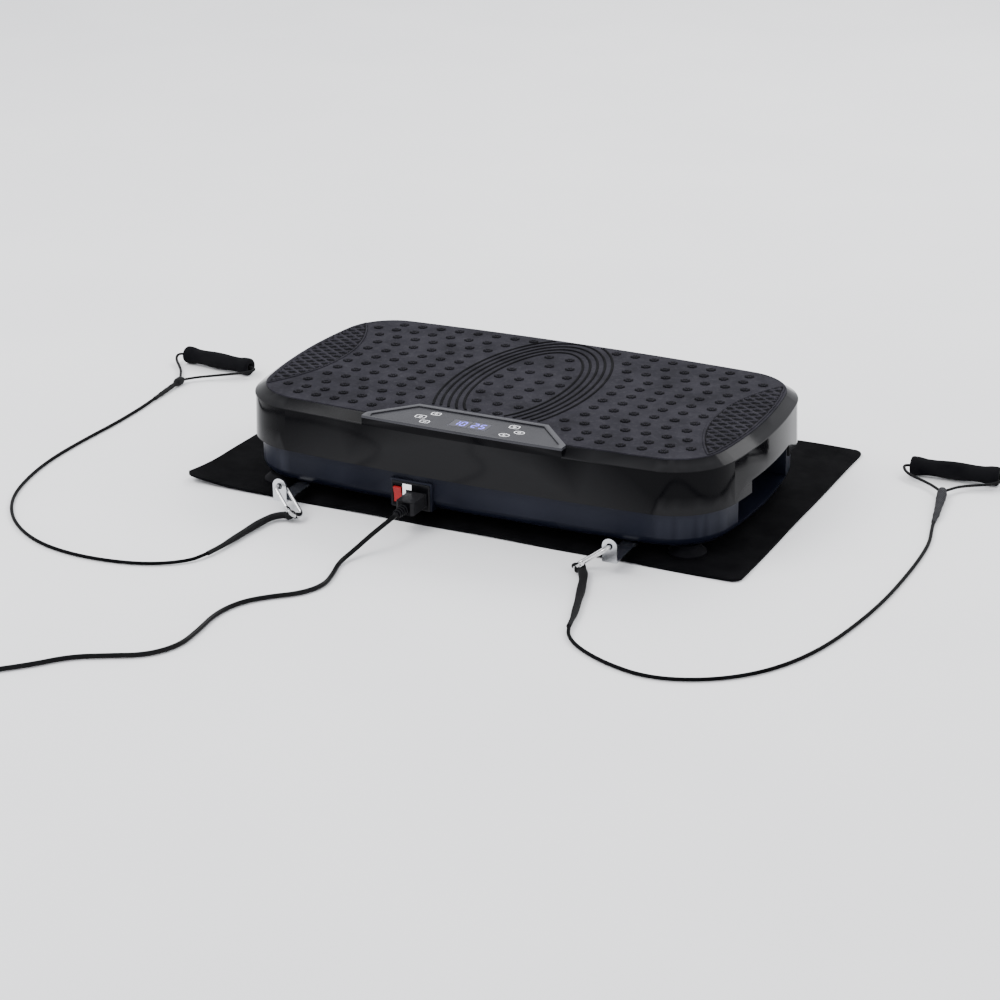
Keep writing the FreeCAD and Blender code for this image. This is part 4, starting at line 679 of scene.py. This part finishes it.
# ---------------------------------------------------------------- floor mat
MAT_STEP = 8 * MM
MAT_MARGIN = 0.2 * MM
MAT_CORNER_RADIUS = 12 * MM
CURL_REACH = 80 * MM
CURL_HEIGHT = 9 * MM
WAVE_REACH = 40 * MM
WAVE_HEIGHT = 0.7 * MM


def make_floor_mat():
    """A thin rubber sheet, slightly wavy, with its front left corner curled up."""
    radius = MAT_CORNER_RADIUS
    nx = int((mat_high.x - mat_low.x) / MAT_STEP)
    ny = int((mat_high.y - mat_low.y) / MAT_STEP)
    thickness = mat_high.z - mat_low.z
    columns = []
    for i in range(nx + 1):
        for j in range(ny + 1):
            x = mat_low.x + MAT_MARGIN + (mat_high.x - mat_low.x - 2 * MAT_MARGIN) * i / nx
            y = mat_low.y + MAT_MARGIN + (mat_high.y - mat_low.y - 2 * MAT_MARGIN) * j / ny
            corner = Vector((min(max(x, mat_low.x + radius), mat_high.x - radius),
                             min(max(y, mat_low.y + radius), mat_high.y - radius)))
            away = Vector((x, y)) - corner
            if away.length > radius:
                x, y = corner + away.normalized() * radius
            diagonal = ((x - mat_low.x) + (y - mat_low.y)) / CURL_REACH
            lift = CURL_HEIGHT * max(0, 1 - diagonal) ** 1.6
            edge = min(x - mat_low.x, mat_high.x - x, y - mat_low.y, mat_high.y - y)
            wave = max(0, 1 - edge / WAVE_REACH) * WAVE_HEIGHT * (1 + math.sin(x * 41) * math.cos(y * 37))
            columns.append((x, y, lift + wave))
    top = [Vector((x, y, z + thickness * 0.93)) for x, y, z in columns]
    bottom = [Vector((x, y, max(0, z))) for x, y, z in columns]
    points = top + bottom
    total = len(top)
    faces = []
    for i in range(nx):
        for j in range(ny):
            a = i * (ny + 1) + j
            b = a + ny + 1
            faces.append([a, b, b + 1, a + 1])
            faces.append([total + a, total + a + 1, total + b + 1, total + b])
    rim = [i * (ny + 1) for i in range(nx + 1)] + [nx * (ny + 1) + j for j in range(1, ny + 1)]
    rim += [i * (ny + 1) + ny for i in range(nx - 1, -1, -1)] + [j for j in range(ny - 1, 0, -1)]
    for a, b in zip(rim, rim[1:] + rim[:1]):
        faces.append([a, b, total + b, total + a])
    mat = mesh_piece("floor_mat_sheet", points, faces, "mat_rubber", "base", sharp=50)
    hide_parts("floor_mat")


# ---------------------------------------------------------------- tread detail
PLATE_HALF_X = 300.0
PLATE_END_RADIUS = 580.0
PLATE_HALF_Y = 166.0
PAD_CENTRE_X = 438.0
PAD_RADIUS = 206.0
RIM_INSET = 13.3
PAD_PITCH_X = 20.0
PAD_PITCH_Y = 13.7
PAD_STEP = 1.0
PAD_START_X = 230.5
PAD_START_Y = -118
PAD_SPAN_X = 60
PAD_SPAN_Y = 236
PAD_GROUND = 0.12
PAD_RIB_HEIGHT = 1.1
PAD_EDGE_GAP = 2.5
PLATE_CORNER_RADIUS = 76.0
PLATE_CORNER_CENTRE = (PLATE_HALF_X - 84.5, PLATE_HALF_Y - 78.0)
STUD_PITCH = 24.1
STUD_CLEARANCE = 4
STUD_LOBES = 8
DISC_RADIUS = 5.5
DISC_SCALLOP = 0.5
DISC_HEIGHT = 0.8
PETAL_RADIUS = 3.2
PETAL_SIZE = (2.3, 1.5, 0.6)
PANEL_SIDE_SLOPE = 1.05
RIB_COUNT = 5
RIB_HALF_X = 50.4
RIB_STEP_X = 8.2
RIB_HALF_Y = 115
RIB_STEP_Y = 11
RIB_PROFILE = [(-1.7, -0.3), (-1.25, 0.7), (-0.5, 1.15), (0.5, 1.15), (1.25, 0.7), (1.7, -0.3)]


def stud_places():
    """Stud centres, as the tread's own studs stand: rows over both halves, and short rows in the ellipse."""
    half_rows = [(5.70, 2.22, 8, 2657.0), (4.60, 3.23, 8, 9000.0), (3.55, 3.68, 7, 0.0), (2.5, 4.22, 6, 0.0),
                 (1.5, 4.22, 6, 0.0), (0.5, 4.22, 6, 0.0), (-0.5, 4.22, 6, 0.0), (-1.5, 4.22, 6, 0.0),
                 (-2.5, 4.22, 6, 0.0), (-3.55, 3.68, 7, 0.0), (-4.57, 4.22, 7, 12000.0),
                 (-5.48, 5.23, 5, 4500.0)]
    places = []
    for row, first, count, bow in half_rows:
        for step in range(count):
            x = (first + step) * STUD_PITCH
            drop = x * x / (2 * bow) if bow else 0.0
            y = row * STUD_PITCH - math.copysign(drop, row)
            places += [(x, y), (-x, y)]
    middle_rows = [(94.0, 2, 26.5), (66.0, 3, 26.0), (38.5, 4, 23.3), (12.0, 4, 25.7), (-15.0, 4, 25.7),
                   (-42.0, 4, 23.3), (-70.0, 3, 26.0), (-97.0, 2, 26.5)]
    for y, count, pitch in middle_rows:
        places += [((i - (count - 1) / 2) * pitch, y) for i in range(count)]
    return places


def petal(points, faces, centre, length, width, height, angle):
    """A low rounded lozenge: a rim on the tread, a smaller ring above it and a crown."""
    around = 10
    base = len(points)
    turn = Matrix.Rotation(angle, 3, "Z")
    for size, level in ((1.0, -0.2), (0.92, 0.55 * height), (0.6, height)):
        for k in range(around):
            a = 2 * math.pi * k / around
            spot = turn @ Vector((math.cos(a) * length / 2 * size, math.sin(a) * width / 2 * size, 0))
            points.append((centre + spot + Vector((0, 0, level))) * MM)
    faces += ring_faces(base, around, 3)
    faces.append([base + 2 * around + k for k in range(around)])
    faces.append([base + k for k in reversed(range(around))])


def stands_clear(x, y):
    """Whether a stud has room: off the panel and off the end pads."""
    limit = panel_high.y / MM + STUD_CLEARANCE
    off_panel = y > limit or abs(x) > 85 + (limit - y) * PANEL_SIDE_SLOPE
    return off_panel and math.hypot(abs(x) - PAD_CENTRE_X, y) > PAD_RADIUS + STUD_CLEARANCE


def make_studs():
    """Flower studs: a scalloped disc on every low pad, dark with painted shade, with raised petals round its
    middle.
    """
    discs, disc_faces, petals, petal_faces = [], [], [], []
    top = TREAD_TOP / MM
    around = 40
    for x, y in stud_places():
        if not stands_clear(x, y):
            continue
        base = len(discs)
        for shrink, level in ((0.35, -0.3), (0.0, 0.55), (0.5, DISC_HEIGHT)):
            for k in range(around):
                angle = 2 * math.pi * k / around
                radius = DISC_RADIUS + DISC_SCALLOP * math.cos(STUD_LOBES * angle) - shrink
                spot = (x + math.cos(angle) * radius, y + math.sin(angle) * radius, top + level)
                discs.append(Vector(spot) * MM)
        disc_faces += ring_faces(base, around, 3)
        disc_faces.append([base + 2 * around + k for k in range(around)])
        disc_faces.append([base + k for k in reversed(range(around))])
        for k in range(STUD_LOBES):
            angle = 2 * math.pi * k / STUD_LOBES
            way = Vector((math.cos(angle), math.sin(angle), 0))
            spot = Vector((x, y, top + DISC_HEIGHT)) + way * PETAL_RADIUS
            petal(petals, petal_faces, spot, *PETAL_SIZE, angle)
    # The discs take the darker rubber as painted shade; the petals keep the tread rubber's own colour.
    mesh_piece("tread_flower_studs", discs, disc_faces, "painted_shade_rubber", "platform",
               slot="tread_rubber", sharp=60)
    mesh_piece("tread_stud_petals", petals, petal_faces, "tread_rubber", "platform", sharp=60)


def make_ridges():
    """Five concentric elliptical ribs, the outer ones cut by the edge of the tread and the panel."""
    points, faces = [], []
    top = TREAD_TOP / MM
    back_limit = tread_high.y / MM - 3
    front_limit = panel_high.y / MM + 3
    steps = 220
    for number in range(RIB_COUNT):
        half_x = RIB_HALF_X + RIB_STEP_X * number
        half_y = RIB_HALF_Y + RIB_STEP_Y * number
        runs, run = [], []
        for k in range(steps + 1):
            angle = 2 * math.pi * k / steps - math.pi / 2
            x, y = half_x * math.cos(angle), half_y * math.sin(angle)
            beside = abs(x) > 79 + (front_limit - y) * PANEL_SIDE_SLOPE
            if y < back_limit and (y > front_limit or beside):
                run.append((x, y, angle))
            elif run:
                runs.append(run)
                run = []
        if run:
            runs.append(run)
        for run in runs:
            if len(run) < 3:
                continue
            base = len(points)
            for x, y, angle in run:
                outward = Vector((math.cos(angle) / half_x, math.sin(angle) / half_y, 0)).normalized()
                points += [(Vector((x, y, top)) + outward * a + Vector((0, 0, b))) * MM for a, b in RIB_PROFILE]
            n = len(RIB_PROFILE)
            faces += ring_faces(base, n, len(run))
            faces.append([base + m for m in range(n)])
            faces.append([base + (len(run) - 1) * n + m for m in range(n)])
    # The ribs take the darker rubber: painted shade along each rib.
    mesh_piece("tread_ellipse_ribs", points, faces, "painted_shade_rubber", "platform",
               slot="tread_rubber", sharp=70)


def pad_room(x, y):
    """How far a point at the right end lies inside the pad's outline, in millimetres."""
    inside_arc = PAD_RADIUS - math.hypot(x - PAD_CENTRE_X, y)
    end_centre = PLATE_HALF_X - PLATE_END_RADIUS
    inside_end = PLATE_END_RADIUS - RIM_INSET - PAD_EDGE_GAP - math.hypot(x - end_centre, y)
    away = Vector((x, abs(y))) - Vector(PLATE_CORNER_CENTRE)
    room = min(inside_arc, inside_end)
    if away.x > 0 and away.y > 0:
        room = min(room, PLATE_CORNER_RADIUS - RIM_INSET - PAD_EDGE_GAP - away.length)
    return room


def pad_lift(x, y, room):
    """Height of the pad at a point: crossed ribs with pits between them, inside a rib and a groove."""
    if room <= 2.0:
        return 1.2 * min(1.0, max(0.0, room + 0.8))
    if room < 3.6:
        return PAD_GROUND
    along = math.cos(2 * math.pi * (x / PAD_PITCH_X + y / PAD_PITCH_Y))
    across = math.cos(2 * math.pi * (x / PAD_PITCH_X - y / PAD_PITCH_Y))
    return PAD_GROUND + PAD_RIB_HEIGHT * min(1.0, max(0.0, max(along, across) - 0.45) / 0.3)


def make_end_pads():
    """Lens-shaped pads of crossed ribs, with pits painted dark as shade and a double border on the inner side.
    """
    top = TREAD_TOP / MM
    for side, name in ((-1, "left"), (1, "right")):
        points, index, lifts = [], {}, []
        columns = int(PAD_SPAN_X / PAD_STEP)
        rows = int(PAD_SPAN_Y / PAD_STEP)
        for i in range(columns):
            for j in range(rows):
                x = PAD_START_X + i * PAD_STEP
                y = PAD_START_Y + j * PAD_STEP
                room = pad_room(x, y)
                if room < -0.9:
                    continue
                lift = pad_lift(x, y, room)
                index[i, j] = len(points)
                lifts.append(lift)
                points.append(Vector((side * x, y, top - 0.1 + lift)) * MM)
        faces = []
        for i, j in index:
            corners = [(i, j), (i + 1, j), (i + 1, j + 1), (i, j + 1)]
            if all(c in index for c in corners):
                faces.append([index[c] for c in corners])
        pad = mesh_piece("tread_end_pad_" + name, points, faces, "tread_rubber", "platform", sharp=80)
        # Faces low in the pits take the darker rubber: painted shade in the hollows.
        pad.data.materials.append(LOOKS["painted_shade_rubber"])
        for face in pad.data.polygons:
            mean = sum(lifts[v] for v in face.vertices) / 4
            face.material_index = 1 if mean < 0.55 else 0
        shell = pad.modifiers.new("thickness", "SOLIDIFY")
        shell.thickness = 0.4 * MM
        shell.offset = -1


# ---------------------------------------------------------------- panel detail
def slab(points, faces, outline, low, high):
    """Adds a flat plate with the given outline, in millimetres."""
    base = len(points)
    n = len(outline)
    points += [Vector((x, y, low)) * MM for x, y in outline] + [Vector((x, y, high)) * MM for x, y in outline]
    faces.append([base + k for k in reversed(range(n))])
    faces.append([base + n + k for k in range(n)])
    faces += ring_faces(base, n, 2)


def oblong(cx, cy, half_x, half_y):
    return [(cx - half_x, cy - half_y), (cx + half_x, cy - half_y), (cx + half_x, cy + half_y),
            (cx - half_x, cy + half_y)]


def band_ring(points, faces, outline, width, low, high):
    """Adds a thin closed line that follows the outline on its inner side."""
    cx = sum(p[0] for p in outline) / len(outline)
    cy = sum(p[1] for p in outline) / len(outline)
    inner = []
    for x, y in outline:
        reach = math.hypot(x - cx, y - cy)
        inner.append((cx + (x - cx) * (reach - width) / reach, cy + (y - cy) * (reach - width) / reach))
    n = len(outline)
    base = len(points)
    for ring, level in ((outline, low), (outline, high), (inner, high), (inner, low)):
        points += [Vector((x, y, level)) * MM for x, y in ring]
    for layer in range(4):
        after = (layer + 1) % 4
        faces += [[base + layer * n + k, base + layer * n + (k + 1) % n, base + after * n + (k + 1) % n,
                   base + after * n + k] for k in range(n)]


def rounded_outline(cx, cy, half_x, half_y, power=2.0, count=28):
    outline = []
    for k in range(count):
        a = 2 * math.pi * k / count
        c, s = math.cos(a), math.sin(a)
        outline.append((cx + math.copysign(abs(c) ** (2 / power), c) * half_x,
                        cy + math.copysign(abs(s) ** (2 / power), s) * half_y))
    return outline


TOUCH_MARKS = [(-49, -123, 5.6, 4.2, 4.5), (-61, -137, 6.4, 4.4, 4.5), (-50, -149, 5.6, 4.0, 4.5),
               (47, -124, 6.0, 4.6, 4.0), (59, -137, 6.2, 4.4, 2.0), (47, -150, 6.2, 4.4, 2.0)]


def make_panel_marks():
    """White outlines of the touch keys, each with a plain sign in it."""
    points, faces = [], []
    low = PANEL_TOP / MM - 0.02
    high = low + 0.10
    for number, (x, y, half_x, half_y, power) in enumerate(TOUCH_MARKS):
        band_ring(points, faces, rounded_outline(x, y, half_x, half_y, power), 0.75, low, high)
        if number in (0, 2):
            slab(points, faces, oblong(x, y, 2.2, 0.4), low, high)
        if number in (0, 3):
            slab(points, faces, oblong(x, y, 0.4, 2.0), low, high)
        if number in (1, 3, 4):
            band_ring(points, faces, rounded_outline(x, y, 2.0, 1.7), 0.7, low, high)
        if number == 5:
            slab(points, faces, [(x - 1.6, y - 1.6), (x + 2.0, y), (x - 1.6, y + 1.6)], low, high)
    mesh_piece("panel_marks", points, faces, "white_print", "platform",
               slot="panel_plastic", smooth=False)


def make_window_frame():
    """A fine black plastic line round the display and a line between its two halves."""
    points, faces = [], []
    cx = (window_low.x + window_high.x) / 2 / MM
    cy = (window_low.y + window_high.y) / 2 / MM
    half_x = (window_high.x - window_low.x) / 2 / MM
    half_y = (window_high.y - window_low.y) / 2 / MM
    level = PANEL_TOP / MM
    band_ring(points, faces, rounded_outline(cx, cy, half_x - 0.6, half_y - 0.6, 14, 56), 0.5, level - 0.05,
              level + 0.08)
    slab(points, faces, oblong(cx, cy, 0.3, half_y - 1.5), level - 0.05, level + 0.08)
    mesh_piece("window_frame_line", points, faces, "black_plastic", "platform", smooth=False)


SEGMENTS = {"0": "abcdef", "1": "bc", "2": "abged", "5": "afgcd", "8": "abcdefg"}


def make_digits():
    """Lit seven-segment digits under the window, two in each half."""
    points, faces = [], []
    level = PANEL_TOP / MM
    cy = (window_low.y + window_high.y) / 2 / MM
    wide, tall, bar = 5.2, 11.0, 1.3
    for centre_x, digit in ((-16.6, "1"), (-8.0, "0"), (6.2, "2"), (15.2, "5")):
        bars = {"a": (0, tall / 2, wide, bar), "d": (0, -tall / 2, wide, bar), "g": (0, 0, wide, bar),
                "b": (wide / 2, tall / 4, bar, tall / 2), "c": (wide / 2, -tall / 4, bar, tall / 2),
                "f": (-wide / 2, tall / 4, bar, tall / 2), "e": (-wide / 2, -tall / 4, bar, tall / 2)}
        for letter in SEGMENTS[digit]:
            x, y, w, h = bars[letter]
            w, h = w - 0.8 * (w > h), h - 0.8 * (h > w)
            x += centre_x + y * 0.08
            slab(points, faces, oblong(x, cy + y, w / 2, h / 2), level - 0.02, level + 0.05)
    mesh_piece("display_digits", points, faces, "digits", "platform", slot="window", smooth=False)


def make_inlet_label():
    """A blank white rating patch between the rocker and the socket."""
    points, faces = [], []
    front = inlet_low.y / MM
    for x0, x1, z0, z1 in ((-70.6, -59.5, 36.8, 43.2), (-70.6, -66.6, 29.5, 36.8)):
        base = len(points)
        for y in (front - 0.12, front + 0.05):
            points += [Vector((x0, y, z0)) * MM, Vector((x1, y, z0)) * MM, Vector((x1, y, z1)) * MM,
                       Vector((x0, y, z1)) * MM]
        faces += [[base + k for k in quad] for quad in ((0, 1, 2, 3), (7, 6, 5, 4), (0, 4, 5, 1), (1, 5, 6, 2),
                                                        (2, 6, 7, 3), (3, 7, 4, 0))]
    mesh_piece("inlet_blank_label", points, faces, "white_print", "base",
               slot="black_plastic", smooth=False)


# ---------------------------------------------------------------- build it all
make_camera()
make_studio()
elastic_bands = make_cords()
dress_frame()
make_floor_mat()
for hand in ("left", "right"):
    strap = make_strap(hand)
    sleeve = make_loop(hand)
    make_grip(hand)
make_studs()
make_ridges()
make_end_pads()
make_panel_marks()
make_window_frame()
make_digits()
make_inlet_label()
